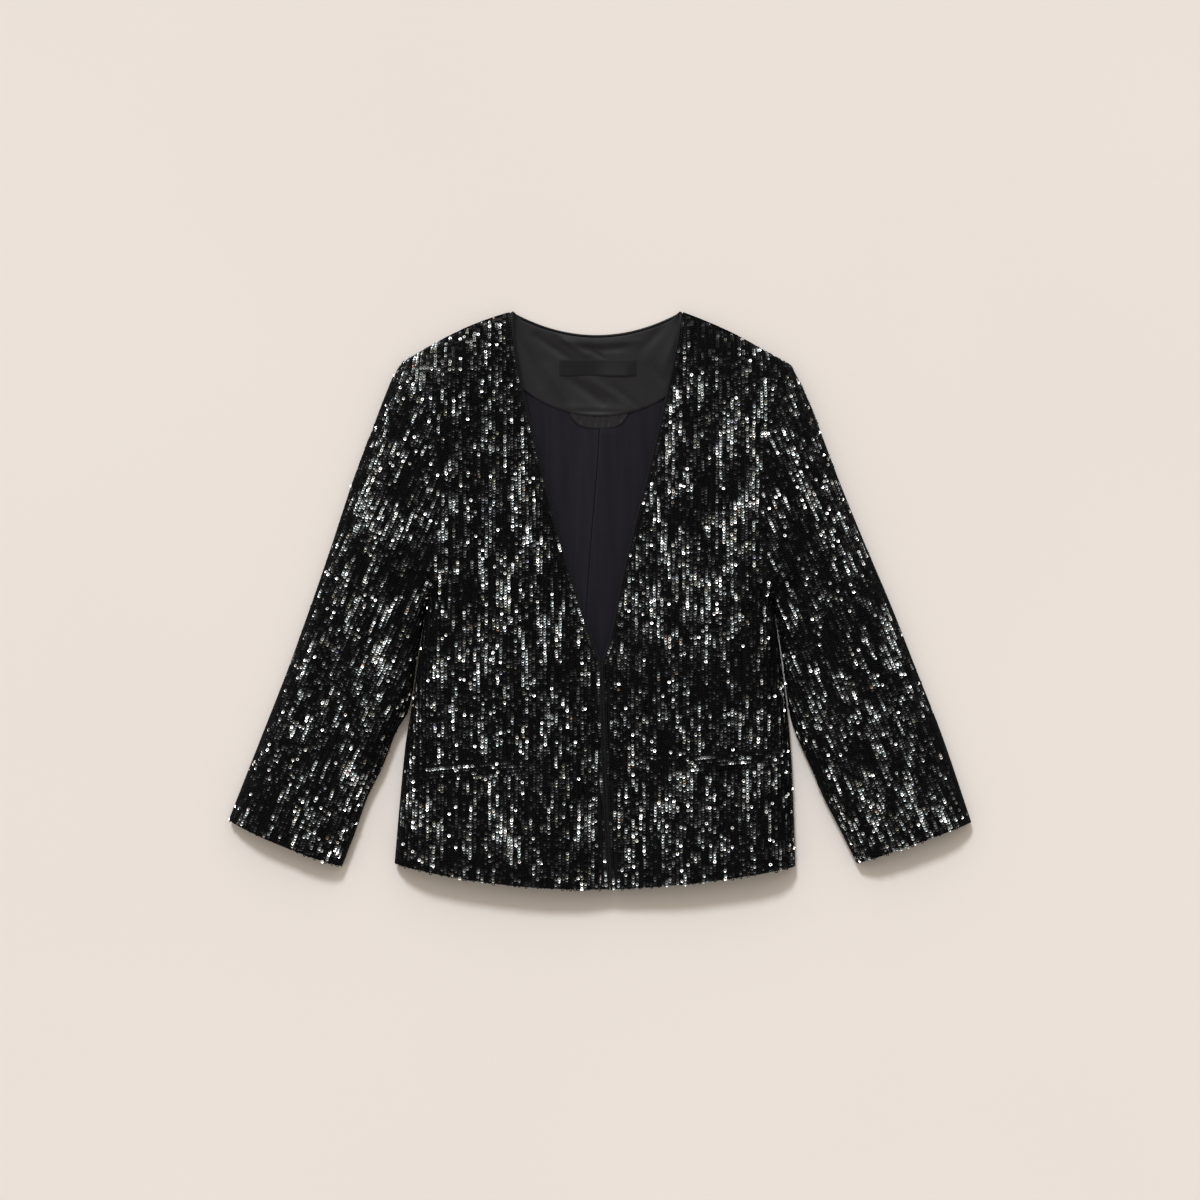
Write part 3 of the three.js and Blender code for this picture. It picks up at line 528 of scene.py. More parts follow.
def sleeve_cloth(side):
    t = (np.linspace(0, 1, 80) ** 1.1)[:, None]
    s = crowded_ends(40)
    x, y = sleeve_place(side, t, s[None, :])
    top, _ = surface(x, y, True)
    low, _ = surface(x, y, False)
    for layer in (top, low):
        layer[:, 0] = layer[:, -1] = EDGE_HEIGHT
    width = np.hypot(x[:, -1:] - x[:, :1], y[:, -1:] - y[:, :1])
    x, y = sleeve_place(side, t, s[None, :] + (2 * s[None, :] - 1) * SIDE_EASE / width)
    ring_x = np.concatenate([x, x[:, -2:0:-1]], axis=1)
    ring_y = np.concatenate([y, y[:, -2:0:-1]], axis=1)
    ring_z = np.concatenate([top, low[:, -2:0:-1]], axis=1)
    outward = (SIDES[side]["sign"], 0, 0)
    return cloth(f"sleeve_{side}_cloth", np.dstack([ring_x, ring_y, ring_z]), outward, GROUND_WALL,
                 -GROUND_DEPTH["sleeve"], ring=True)


# Sequins: rows along the grain, spaced by the length over the cloth

ROW_PITCH = 3.68
SEQUIN_PITCH = 2.68
SEQUIN_RADIUS = 1.56
HOLE_RADIUS = 0.80
CUP_DEPTH = 0.42
RIM_SIDES = 8
SEAM_INSET = 0.3                # from the outline to the middle of the outermost sequins
HEM_OVERHANG = 0.8              # how far the outline of the rows lies beyond the cloth at hem and cuffs
EDGE_ROW_INSET = 3.7            # from the front's finished edge to the row that follows it
EDGE_ROW_CLEARANCE = 2.9
GLINT = (-0.11, 0.38, 0.918)    # direction that throws the key light up to the camera

SEQUIN_PAINTED_LIGHT_STEPS = ("painted_shade_jet", "black", "painted_sheen_smoke", "painted_glint_pewter", "painted_glint_olive", "painted_glint_teal", "painted_glint_silver", "painted_glint_amber", "painted_glint_violet")

# Places that catch or lose the light: centre, reach and gain.
LIGHT_PATCHES = table(
    "x y reach gain",
    (-235, 95, 17, 0.46), (50, 100, 15, 0.44), (-90, -240, 18, 0.36),
    (66, 42, 15, 0.30), (-228, 130, 14, 0.30),
    (-216, 162, 15, 0.34), (-198, 82, 14, 0.32), (-185, 226, 15, 0.28), (-155, 236, 14, 0.18),
    (66, 4, 15, 0.20), (100, -42, 15, 0.26), (140, 60, 16, 0.16), (130, 145, 15, 0.16),
    (225, 110, 14, 0.24), (240, 80, 14, 0.30), (255, 40, 13, 0.16), (290, -40, 14, 0.16),
    (-55, 40, 16, 0.16), (-50, -35, 16, 0.14), (-50, -150, 16, 0.16), (35, -120, 15, 0.14),
    (95, -200, 16, 0.14), (140, -70, 15, 0.14), (-255, -175, 16, 0.18), (-305, -130, 14, 0.14),
    (-235, -60, 14, 0.14), (-250, -130, 14, 0.14), (290, -210, 14, 0.18), (330, -100, 13, 0.14),
    (65, 170, 14, 0.16), (97, 155, 14, 0.14), (-155, -70, 15, 0.12),
    (-170, -30, 22, -0.24), (220, -40, 22, -0.22), (-115, 120, 18, -0.18), (105, 110, 16, -0.18),
    (-140, 10, 18, -0.18), (-108, 205, 20, -0.16), (-130, 72, 16, -0.18), (130, -68, 15, -0.12),
)


def value_noise(rng, u, v, cells_u, cells_v):
    """Smooth noise between 0 and 1 over u and v in 0..1."""
    lattice = rng.random((cells_u + 2, cells_v + 2))
    pu, pv = u * cells_u, v * cells_v
    iu, iv = np.floor(pu).astype(int), np.floor(pv).astype(int)
    fu, fv = smooth(pu - iu), smooth(pv - iv)
    low = lattice[iu, iv] * (1 - fu) + lattice[iu + 1, iv] * fu
    high = lattice[iu, iv + 1] * (1 - fu) + lattice[iu + 1, iv + 1] * fu
    return low * (1 - fv) + high * fv


def inside_polygon(x, y, polygon, inset):
    """Which points lie inside a polygon, at least inset from its edge."""
    a, b = polygon, np.roll(polygon, -1, axis=0)
    run = b - a
    keep = np.empty(len(x), bool)
    for low in range(0, len(x), BATCH):
        cut = slice(low, low + BATCH)
        px, py = x[cut, None], y[cut, None]
        crosses = (a[:, 1] > py) != (b[:, 1] > py)
        slope = run[:, 0] * (py - a[:, 1]) / np.where(run[:, 1] == 0, 1e-9, run[:, 1]) + a[:, 0]
        inside = (crosses & (px < slope)).sum(1) % 2 == 1
        t = np.clip(((px - a[:, 0]) * run[:, 0] + (py - a[:, 1]) * run[:, 1]) / (run ** 2).sum(1), 0, 1)
        away = np.hypot(px - a[:, 0] - t * run[:, 0], py - a[:, 1] - t * run[:, 1]).min(1)
        keep[cut] = inside & (away >= inset)
    return keep


STATION_PITCH = 5.0             # between the places along the rows where their spacing is measured
STATION_MARGINS = (0.4, 1.0)    # from the outline's two ends to the first and the last of them
STATION_POINTS = 120
FINE_STEP = 1.5                 # between the points of a row's line
ROW_SCATTER = 0.22
ROW_WANDER = ((0.3, 31), (0.15, 9))     # slow waves of a row: how far it strays, and over what length
ANY_PHASE = 6.3
PLACE_SCATTER = 0.18


def measure_across(polygon, origin, along, across, upper):
    """Stations along the rows, points across the outline at each, and their lengths over the cloth."""
    corners = polygon - origin
    a, b = corners @ across, corners @ along
    first, last = b.min() + STATION_MARGINS[0], b.max() - STATION_MARGINS[1]
    stations = np.linspace(first, last, int((b.max() - b.min()) / STATION_PITCH))
    nexts = np.roll(np.column_stack([a, b]), -1, axis=0)
    low, high = [], []
    for level in stations:
        crossed = (b > level) != (nexts[:, 1] > level)
        share = (level - b[crossed]) / (nexts[crossed, 1] - b[crossed])
        ends = a[crossed] + share * (nexts[crossed, 0] - a[crossed])
        low.append(ends.min())
        high.append(ends.max())
    low, high = np.array(low), np.array(high)
    samples = low[:, None] + (high - low)[:, None] * crowded_ends(STATION_POINTS)
    z, _ = surface(origin[0] + samples * across[0] + stations[:, None] * along[0],
                   origin[1] + samples * across[1] + stations[:, None] * along[1], upper)
    steps = np.hypot(np.diff(samples, axis=1), np.diff(z, axis=1))
    arc = np.concatenate([np.zeros((len(stations), 1)), np.cumsum(steps, axis=1)], axis=1)
    for k in range(len(stations)):
        if low[k] >= 0:
            arc[k] += low[k]
        elif high[k] <= 0:
            arc[k] += high[k] - arc[k, -1]
        else:
            arc[k] -= np.interp(0, samples[k], arc[k])
    return stations, samples, arc


def row_lines(stations, samples, arc, rng):
    """The rows, each with its number and its points, across and along."""
    numbers = np.arange(math.floor(arc.min() / ROW_PITCH), math.ceil(arc.max() / ROW_PITCH) + 1)
    wobble = rng.normal(0, ROW_SCATTER, len(numbers))
    fine = np.linspace(stations[0], stations[-1], int((stations[-1] - stations[0]) / FINE_STEP))
    for number, shift in zip(numbers, wobble):
        target = number * ROW_PITCH + shift
        place = np.array([np.interp(target, arc[k], samples[k], left=np.nan, right=np.nan)
                          for k in range(len(stations))])
        good = ~np.isnan(place)
        if good.sum() < 2:
            continue
        first, last = np.flatnonzero(good)[[0, -1]]
        place = np.interp(stations, stations[good], place[good])
        start, end = stations[max(0, first - 1)], stations[min(len(stations) - 1, last + 1)]
        run = fine[(fine >= start) & (fine <= end)]
        away = np.interp(run, stations, place)
        for reach, length in ROW_WANDER:
            away = away + reach * np.sin(run / length + rng.uniform(0, ANY_PHASE))
        yield number, away, run


def sequin_rows(polygon, origin, along, upper, rng, inset=SEAM_INSET):
    """Places of sequins in rows along one direction: x, y and row number."""
    along = np.asarray(along, float) / np.hypot(*along)
    across = np.array([along[1], -along[0]])
    numbers, xs, ys = [], [], []
    for number, away, run in row_lines(*measure_across(polygon, origin, along, across, upper), rng):
        numbers.append(number)
        xs.append(origin[0] + away * across[0] + run * along[0])
        ys.append(origin[1] + away * across[1] + run * along[1])
    z, _ = surface(np.concatenate(xs), np.concatenate(ys), upper)
    heights = np.split(z, np.cumsum([len(x) for x in xs])[:-1])
    out_x, out_y, out_row = [], [], []
    for number, x, y, height in zip(numbers, xs, ys, heights):
        step = np.sqrt(np.diff(x) ** 2 + np.diff(y) ** 2 + np.diff(height) ** 2)
        length = np.concatenate([[0], np.cumsum(step)])
        count = int(length[-1] / SEQUIN_PITCH)
        if count < 1:
            continue
        at = (np.arange(count) + rng.uniform(0, 1)) * SEQUIN_PITCH + rng.normal(0, PLACE_SCATTER, count)
        at = np.clip(at, 0, length[-1])
        out_x.append(np.interp(at, length, x))
        out_y.append(np.interp(at, length, y))
        out_row.append(np.full(count, number))
    x, y = np.concatenate(out_x), np.concatenate(out_y)
    keep = inside_polygon(x, y, polygon, inset)
    return x[keep], y[keep], np.concatenate(out_row)[keep]


def cup_template():
    """Points and triangles of one cup sequin: a rim round a hole."""
    angle = (np.arange(RIM_SIDES) + 0.5) * 2 * math.pi / RIM_SIDES
    points = [(SEQUIN_RADIUS * math.cos(v), SEQUIN_RADIUS * math.sin(v), CUP_DEPTH) for v in angle]
    points += [(HOLE_RADIUS * math.cos(v), HOLE_RADIUS * math.sin(v), 0) for v in angle]
    faces = []
    for k in range(RIM_SIDES):
        after = (k + 1) % RIM_SIDES
        faces += [(k, after, RIM_SIDES + after), (k, RIM_SIDES + after, RIM_SIDES + k)]
    return np.array(points), np.array(faces)


def disc_template():
    """A plain six-sided sequin, for the faces that the jacket lies on."""
    angle = np.arange(6) * math.pi / 3
    points = np.column_stack([SEQUIN_RADIUS * np.cos(angle), SEQUIN_RADIUS * np.sin(angle), np.zeros(6)])
    return points, np.array([(0, 1, 2), (0, 2, 3), (0, 3, 5), (3, 4, 5)])


def unit(v):
    return v / np.linalg.norm(v, axis=-1, keepdims=True)


def streaks(rng, rows, along, wide, long):
    """Random values in streaks, so many rows wide and so many millimetres long."""
    across = (rows - rows.min()) / max(1, np.ptp(rows))
    reach = np.ptp(along)
    phase = rng.uniform(0, 2 * math.pi, 2)
    uneven = long * (0.45 * np.sin(rows * 1.1 + phase[0]) + 0.35 * np.sin(rows * 0.43 + phase[1]))
    place = np.clip((along - along.min() + uneven) / max(1.0, reach), 0, 1)
    return value_noise(rng, across, place, max(1, round(np.ptp(rows) / wide)), max(2, round(reach / long)))


ACROSS_SCATTER = 0.24
UPPER_LIFT = -0.45              # from the outer face to the middle of a sequin, on the two layers
UNDER_LIFT = -0.48
BRIGHT_LIFT = 0.25              # bright sequins stand this much higher
LIFT_SCATTER = 0.07
SIZE_SCATTER = 0.02
UNDER_TILT = 0.3                # the lower layer's sequins tilt by this share of what the upper ones do
LEAN_FORWARD = (7.0, 14.0, 12)  # degrees that they hang, spread of the streaks, length of a streak
LEAN_SIDE = (0.0, 16.0, 16)
LEAN_SCATTER = 6.0
FACING_SHARE = 0.5              # share of the bright sequins that face the light
FACING_RANGE = (0.5, 1.0)       # how far those do
FACING_LITTLE = 0.08            # and how far the others do
FLAT_FROM = 0.3                 # sequins that face it by more than this are flat
FLAT_CUP = 0.3                  # and keep this share of their depth


def lean(rng, rows, reach, hang, spread, long):
    """Angles at which sequins hang, in streaks along their rows."""
    wave = streaks(rng, rows, reach, 1, long) - 0.5
    return np.radians(hang + spread * wave + rng.normal(0, LEAN_SCATTER, len(rows)))


def sequins(name, polygon, origin, along, upper, seed, painted_light_finishes, base_lift=UPPER_LIFT, inset=SEAM_INSET,
            leave_out=None, edge_row=None):
    """Sequins all over an outline, as one mesh. upper tells the layer, leave_out drops places,
    and edge_row gives the places of a row of its own."""
    rng = np.random.default_rng(seed)
    x, y, rows = sequin_rows(polygon, origin, along, upper, rng, inset)
    along = unit(np.asarray(along, float))
    shift = rng.normal(0, ACROSS_SCATTER, len(x))
    x, y = x + shift * along[1], y - shift * along[0]
    if leave_out is not None:
        keep = ~leave_out(x, y)
        x, y, rows = x[keep], y[keep], rows[keep]
    if edge_row is not None:
        x, y = np.append(x, edge_row[0]), np.append(y, edge_row[1])
        rows = np.append(rows, np.full(len(edge_row[0]), rows[np.abs(x[:len(rows)]).argmin()]))
    z, normal = surface(x, y, upper)
    count = len(x)
    reach = x * along[0] + y * along[1]
    tilt = 1.0 if upper else UNDER_TILT
    down = np.append(along * (-1 if along[1] > 0 else 1), 0.0)
    forward = unit(down - normal * (normal @ down)[:, None])
    sideways = np.cross(normal, forward)
    lean_forward = lean(rng, rows, reach, *LEAN_FORWARD) * tilt
    lean_side = lean(rng, rows, reach, *LEAN_SIDE) * tilt
    facing = unit(normal + forward * np.tan(lean_forward)[:, None] + sideways * np.tan(lean_side)[:, None])
    # each sequin gets a darker or lighter copy of the black foil: painted shade and painted glints
    painted_light_step, bright = pick_painted_light(rng, x, y, rows, reach)
    depth = np.ones(count)
    if upper:
        faces_it = rng.random(count) < FACING_SHARE
        toward = bright * np.where(faces_it, rng.uniform(*FACING_RANGE, count), FACING_LITTLE)
        depth[toward > FLAT_FROM] = FLAT_CUP
        facing = unit(facing * (1 - toward)[:, None] + np.array(GLINT) * toward[:, None])
    e1 = unit(forward - facing * (forward * facing).sum(1)[:, None])
    e2 = np.cross(facing, e1)
    turn = rng.uniform(0, 2 * math.pi, count)
    u = e1 * np.cos(turn)[:, None] + e2 * np.sin(turn)[:, None]
    v = np.cross(facing, u)
    template, faces = cup_template() if upper else disc_template()
    size = rng.normal(1, SIZE_SCATTER, count)[:, None, None]
    lift = base_lift + rng.normal(0, LIFT_SCATTER, count) + (BRIGHT_LIFT * bright if upper else 0)
    centre = np.column_stack([x, y, z]) + normal * lift[:, None]
    points = centre[:, None, :] + size * (template[None, :, 0:1] * u[:, None, :]
                                          + template[None, :, 1:2] * v[:, None, :]
                                          + template[None, :, 2:3] * (facing * depth[:, None])[:, None, :])
    index = (faces[None, :, :] + (np.arange(count) * len(template))[:, None, None]).reshape(-1, 3)
    piece = new_object(name, points.reshape(-1, 3), index, np.repeat(painted_light_step, len(faces)))
    for key in SEQUIN_PAINTED_LIGHT_STEPS:
        piece.data.materials.append(painted_light_finishes[key])
    return piece


# Where each step of painted light and shade starts, as a share of the sequins from the darkest up: jet is
# painted shade, black the foil's own colour, and the rest painted sheen and glints.
PAINTED_SHADE_JET_SHARE = 0.42
PAINTED_SHADE_JET_BLUR = 0.4
PAINTED_SHEEN_SMOKE_SHARE = 0.68
LIT_SHARE = 0.835
PAINTED_GLINT_TEAL_FROM = 0.42                # share of the lit ones, from the darkest up
PAINTED_GLINT_TEAL_BLUR = 0.5
PAINTED_GLINT_OLIVE_TINT = 0.62
PAINTED_GLINT_AMBER_CHANCE = 0.010
PAINTED_GLINT_VIOLET_CHANCE = 0.005
STRAY_SHARE = 0.009             # sequins with the brightest painted glint outside the lit places
PAINTED_GLINT_SILVER_LEAST = 0.06             # chance of the brightest painted glint among the dimmest lit ones
PAINTED_GLINT_SILVER_MORE = 0.26              # and how much higher it is among the brightest
LIT_TURN = 0.30                 # how far half of the other lit ones turn to the light

LIGHT = {"streaks": 0.34, "fine_streaks": 0.36, "field": 0.09, "chance": 0.32, "patches": 0.50}
FIELD = (400.0, 300.0)          # half the width and height of the field that broad noise covers


def field_noise(rng, x, y, cells_x, cells_y):
    u, v = (x + FIELD[0]) / (2 * FIELD[0]), (y + FIELD[1]) / (2 * FIELD[1])
    return value_noise(rng, u, v, cells_x, cells_y)


def pick_painted_light(rng, x, y, rows, reach):
    """Painted light and shade of each sequin, as a darker or lighter copy of the foil, and how far it turns
    to the light: streaks, patches and strays.
    """
    patch = np.zeros(len(x))
    for px, py, wide, gain in rows_of(LIGHT_PATCHES):
        patch += gain * np.exp(-(((x - px) ** 2 + (y - py) ** 2) / wide ** 2))
    light = LIGHT["streaks"] * streaks(rng, rows, reach, 1.8, 27)
    light += LIGHT["fine_streaks"] * streaks(rng, rows, reach, 1, 11)
    light += LIGHT["field"] * field_noise(rng, x, y, 30, 20)
    light += LIGHT["chance"] * rng.random(len(x)) + LIGHT["patches"] * patch
    share = np.empty(len(x))
    share[np.argsort(light, kind="stable")] = (np.arange(len(x)) + 0.5) / len(x)
    tint = field_noise(rng, x, y, 60, 40)
    one = rng.random(len(x))
    high = np.clip((share - LIT_SHARE) / (1 - LIT_SHARE), 0, 1)
    lit = share > LIT_SHARE
    painted_glint_silver = (lit & (one < PAINTED_GLINT_SILVER_LEAST + PAINTED_GLINT_SILVER_MORE * high ** 2)) | (one < STRAY_SHARE)
    painted_light_step = np.zeros(len(x), int)

    def give(where, key):
        painted_light_step[where] = SEQUIN_PAINTED_LIGHT_STEPS.index(key)

    give(share + PAINTED_SHADE_JET_BLUR * (one - 0.5) > PAINTED_SHADE_JET_SHARE, "black")
    give(share > PAINTED_SHEEN_SMOKE_SHARE, "painted_sheen_smoke")
    give(lit & (tint < PAINTED_GLINT_OLIVE_TINT), "painted_glint_pewter")
    give(lit & (tint >= PAINTED_GLINT_OLIVE_TINT), "painted_glint_olive")
    give(lit & (high + PAINTED_GLINT_TEAL_BLUR * (one - 0.5) > PAINTED_GLINT_TEAL_FROM), "painted_glint_teal")
    give(lit & (one > 1 - PAINTED_GLINT_AMBER_CHANCE), "painted_glint_amber")
    give(lit & (one > 1 - PAINTED_GLINT_VIOLET_CHANCE), "painted_glint_violet")
    give(painted_glint_silver, "painted_glint_silver")
    bright = np.where(painted_glint_silver, 1.0, np.where(lit, LIT_TURN * (one > 0.5), 0.0))
    return painted_light_step, bright


# Materials

class Socket:
    """A shader value that can be written in an expression."""

    def __init__(self, material, link):
        self.material, self.link = material, link

    def _math(self, operation, other):
        return self.material.add("ShaderNodeMath", {"operation": operation}, {0: self, 1: other})

    def __add__(self, other):
        return self._math("ADD", other)

    def __mul__(self, other):
        return self._math("MULTIPLY", other)

    __radd__ = __add__
    __rmul__ = __mul__


class Material:
    """A node material whose nodes all come from one method."""

    def __init__(self, name, **constants):
        self.data = bpy.data.materials.new(name)
        self.data.use_nodes = True
        self.tree = self.data.node_tree
        self.shader = self.tree.nodes["Principled BSDF"]
        for socket, value in constants.items():
            self.shader.inputs[socket.replace("_", " ")].default_value = value

    def add(self, kind, settings=None, inputs=None, output=0):
        node = self.tree.nodes.new(kind)
        for key, value in (settings or {}).items():
            if key == "ramp":
                stops = node.color_ramp.elements
                for i, (at, colour) in enumerate(value):
                    stop = stops[i] if i < 2 else stops.new(at)
                    stop.position, stop.color = at, (*colour, 1)
            else:
                setattr(node, key, value)
        for key, value in (inputs or {}).items():
            if isinstance(value, Socket):
                self.tree.links.new(value.link, node.inputs[key])
            else:
                node.inputs[key].default_value = value
        return Socket(self, node.outputs[output])

    def feed(self, socket, value):
        self.tree.links.new(value.link, self.shader.inputs[socket])

    def place(self):
        return self.add("ShaderNodeTexCoord", output="Object")

    def noise(self, scale, detail=3.0, roughness=0.5, vector=None):
        return self.add("ShaderNodeTexNoise", None, {"Vector": vector or self.place(), "Scale": scale,
                                                     "Detail": detail, "Roughness": roughness})

    def ramp(self, value, *stops):
        return self.add("ShaderNodeValToRGB", {"ramp": stops}, {"Fac": value})

    def bump(self, height, distance, strength=1.0):
        values = {"Height": height, "Distance": distance, "Strength": strength}
        self.feed("Normal", self.add("ShaderNodeBump", None, values))


def painted_light_sequin_finishes():
    """One black foil in steps: black is its own colour, jet a darker copy for painted shade, and the others
    lighter, tinted copies for painted sheen and glints. Columns: base colour, metallic, roughness and
    specular level.
    """
    rows = {
        "painted_shade_jet": ((0.0018, 0.0017, 0.0021), 0.0, 0.38, 0.035),
        "black": ((0.0060, 0.0058, 0.0068), 0.0, 0.30, 0.22),
        "painted_sheen_smoke": ((0.070, 0.071, 0.075), 1.0, 0.36, 0.5),
        "painted_glint_pewter": ((0.22, 0.235, 0.240), 1.0, 0.35, 0.5),
        "painted_glint_olive": ((0.23, 0.228, 0.188), 1.0, 0.35, 0.5),
        "painted_glint_teal": ((0.50, 0.56, 0.57), 1.0, 0.35, 0.5),
        "painted_glint_silver": ((0.97, 0.97, 0.97), 1.0, 0.27, 0.5),
        "painted_glint_amber": ((0.32, 0.21, 0.15), 1.0, 0.38, 0.5),
        "painted_glint_violet": ((0.24, 0.23, 0.34), 1.0, 0.38, 0.5),
    }
    return {name: Material(f"sequin_{name}", Base_Color=(*colour, 1), Metallic=metallic, Roughness=roughness,
                           Specular_IOR_Level=specular).data
            for name, (colour, metallic, roughness, specular) in rows.items()}


def ground_material():
    """Black net that the sequins are sewn to."""
    made = Material("ground_net", Roughness=0.8, Specular_IOR_Level=0.1)
    grain = made.noise(900.0, 2.0)
    made.feed("Base Color", made.ramp(grain, (0.3, (0.0012, 0.0012, 0.0014)), (0.7, (0.004, 0.004, 0.0044))))
    made.bump(grain, 0.0004)
    return made.data


def satin_material(name, dark, light, shine, turn=0.0):
    """Black satin: fine threads across, cloudy sheen."""
    made = Material(name, Roughness=0.42, Specular_IOR_Level=shine, Sheen_Weight=0.08, Sheen_Roughness=0.4)
    mapped = made.add("ShaderNodeMapping", None, {"Vector": made.place(), "Rotation": (0, 0, turn),
                                                  "Scale": (1.0, 0.10, 1.0)})
    threads = made.noise(2600.0, 2.0, vector=mapped)
    cloud = made.noise(34.0, 3.0)
    made.feed("Base Color", made.ramp(threads * 0.4 + cloud * 0.6, (0.3, dark), (0.72, light)))
    rough = made.add("ShaderNodeMapRange", None, {"Value": cloud, "To Min": 0.36, "To Max": 0.5})
    made.feed("Roughness", rough)
    made.bump(threads * 0.25 + cloud, 0.0005, 0.5)
    return made.data


def lining_material():
    """Violet-grey twill with faint streaks along the grain."""
    made = Material("lining_twill", Roughness=0.6, Specular_IOR_Level=0.15, Sheen_Weight=0.06)
    wave = made.add("ShaderNodeTexWave", {"wave_type": "BANDS", "bands_direction": "DIAGONAL"},
                    {"Vector": made.place(), "Scale": 900.0, "Distortion": 0.4})
    stretched = made.add("ShaderNodeMapping", None, {"Vector": made.place(), "Scale": (3.4, 0.22, 1.0)})
    faint = made.noise(46.0, 3.0, vector=stretched)
    colour = made.ramp(faint, (0.32, (0.0046, 0.0037, 0.0074)), (0.7, (0.0084, 0.0070, 0.0128)))
    made.feed("Base Color", colour)
    made.bump(wave * 0.4 + faint, 0.0003, 0.6)
    return made.data


def thread_material():
    made = Material("sewing_thread", Roughness=0.6, Specular_IOR_Level=0.3)
    twist = made.add("ShaderNodeTexWave", {"wave_type": "BANDS", "bands_direction": "DIAGONAL"},
                     {"Vector": made.place(), "Scale": 1600.0})
    made.feed("Base Color", made.ramp(twist, (0.2, (0.012, 0.012, 0.013)), (0.8, (0.04, 0.04, 0.042))))
    return made.data


def floor_material():
    """Pale card, a little warm, with the slightest cloud in it."""
    made = Material("pale_surface", Roughness=0.85, Specular_IOR_Level=0.2)
    cloud = made.noise(1.6, 2.0)
    made.feed("Base Color", made.ramp(cloud, (0.35, (0.781, 0.720, 0.668)), (0.65, (0.793, 0.732, 0.679))))
    return made.data


# Camera, light and floor

FRAME_WIDTH = 1.2               # metres that the camera frames on the surface
LENS = 100
SENSOR = 36
CAMERA_LEVEL = 0.007            # height over the surface of the level that the frame is measured at
FLOOR_SIZE = 24
KEY_STRENGTH = 1.89
KEY_COLOUR = (0.93, 1.0, 1.10)
ROOM_COLOUR = (1.04, 0.965, 0.875, 1)
ROOM_FALL = (-0.35, 0.90)
ROOM_DARK = 0.347
ROOM_LIGHT = 1.12
ROOM_WINDOW = (-0.25, 0.95, 0.12)
KEY_FROM = (-0.20, 0.70, 0.68)


def set_stage():
    bpy.ops.mesh.primitive_plane_add(size=FLOOR_SIZE, location=(0, 0, 0))
    floor = bpy.context.object
    floor.name = "floor"
    floor.data.materials.append(floor_material())

    camera = bpy.data.objects.new("camera", bpy.data.cameras.new("camera"))
    bpy.context.collection.objects.link(camera)
    camera.data.lens = LENS
    camera.data.sensor_width = SENSOR
    camera.location = (0, 0, FRAME_WIDTH * LENS / SENSOR + CAMERA_LEVEL)
    camera.data.clip_end = 20
    bpy.context.scene.camera = camera

    key = bpy.data.lights.new("key", "SUN")
    key.energy = KEY_STRENGTH
    key.angle = math.radians(11)
    key.color = KEY_COLOUR
    lamp = bpy.data.objects.new("key", key)
    lamp.rotation_euler = Vector(KEY_FROM).to_track_quat("Z", "Y").to_euler()
    bpy.context.collection.objects.link(lamp)

    world = bpy.data.worlds.new("studio")
    world.use_nodes = True
    tree = world.node_tree
    direction = tree.nodes.new("ShaderNodeTexCoord")
    toward = tree.nodes.new("ShaderNodeVectorMath")
    toward.operation = "DOT_PRODUCT"
    toward.inputs[1].default_value = ROOM_WINDOW
    fall = tree.nodes.new("ShaderNodeMapRange")
    fall.interpolation_type = "SMOOTHSTEP"
    fall.inputs["From Min"].default_value, fall.inputs["From Max"].default_value = ROOM_FALL
    fall.inputs["To Min"].default_value = ROOM_DARK
    fall.inputs["To Max"].default_value = ROOM_LIGHT
    tree.links.new(direction.outputs["Generated"], toward.inputs[0])
    tree.links.new(toward.outputs["Value"], fall.inputs["Value"])
    background = tree.nodes["Background"]
    background.inputs["Color"].default_value = ROOM_COLOUR
    tree.links.new(fall.outputs["Result"], background.inputs["Strength"])
    bpy.context.scene.world = world
    bpy.context.scene.view_settings.view_transform = "Standard"


# Pieces that lie on a layer: welts, facing, lining, label and loop

ON_BACK = 2.3
ON_FACING = 3.4
FACING_HALF_WIDTH = 100.0
FACING_LOW_CENTRE = 184.0
FACING_LOW_RISE = 46.0
FACING_WRINKLING = 0.72         # share of its wrinkles' depth that it has, now that it lies flat
FACING_LIFT = 1.3
LINING_HALF_WIDTH = 148.0
LINING_HEM_LEVEL = -245.0
LINING_TOP_LEVEL = 217.0
PLEAT = table("y x", (184, 0), (142, -2), (42, -10), (-60, -15), (-245, -18))
PLEAT_PROFILE = table("offset rise", (-24, 0), (-3, 0.5), (-1.1, 0.8), (-0.35, -0.7), (0.35, -0.7),
                      (1.1, 1.3), (3, 1.3), (12, 0.7), (24, 0))
LABEL = {"x0": -40.5, "x1": 36.5, "y0": 224.0, "y1": 240.5, "lift": 1.7}
LOOP = {"centre": -1.0, "half_width": 29.0, "depth": 14.5, "end_depth": 3.0}
LOOP_CRIMPS = ((-0.69, 0.9), (-0.40, 0.5), (-0.16, 1.0), (0.06, 0.9), (0.28, 1.0), (0.72, 0.9))
WELT_WIDTH = 12.5
WELTS = {
    "right": {"near": (76, -160), "far": (173, -168)},
    "left": {"near": (88, -157), "far": (183, -150)},
}

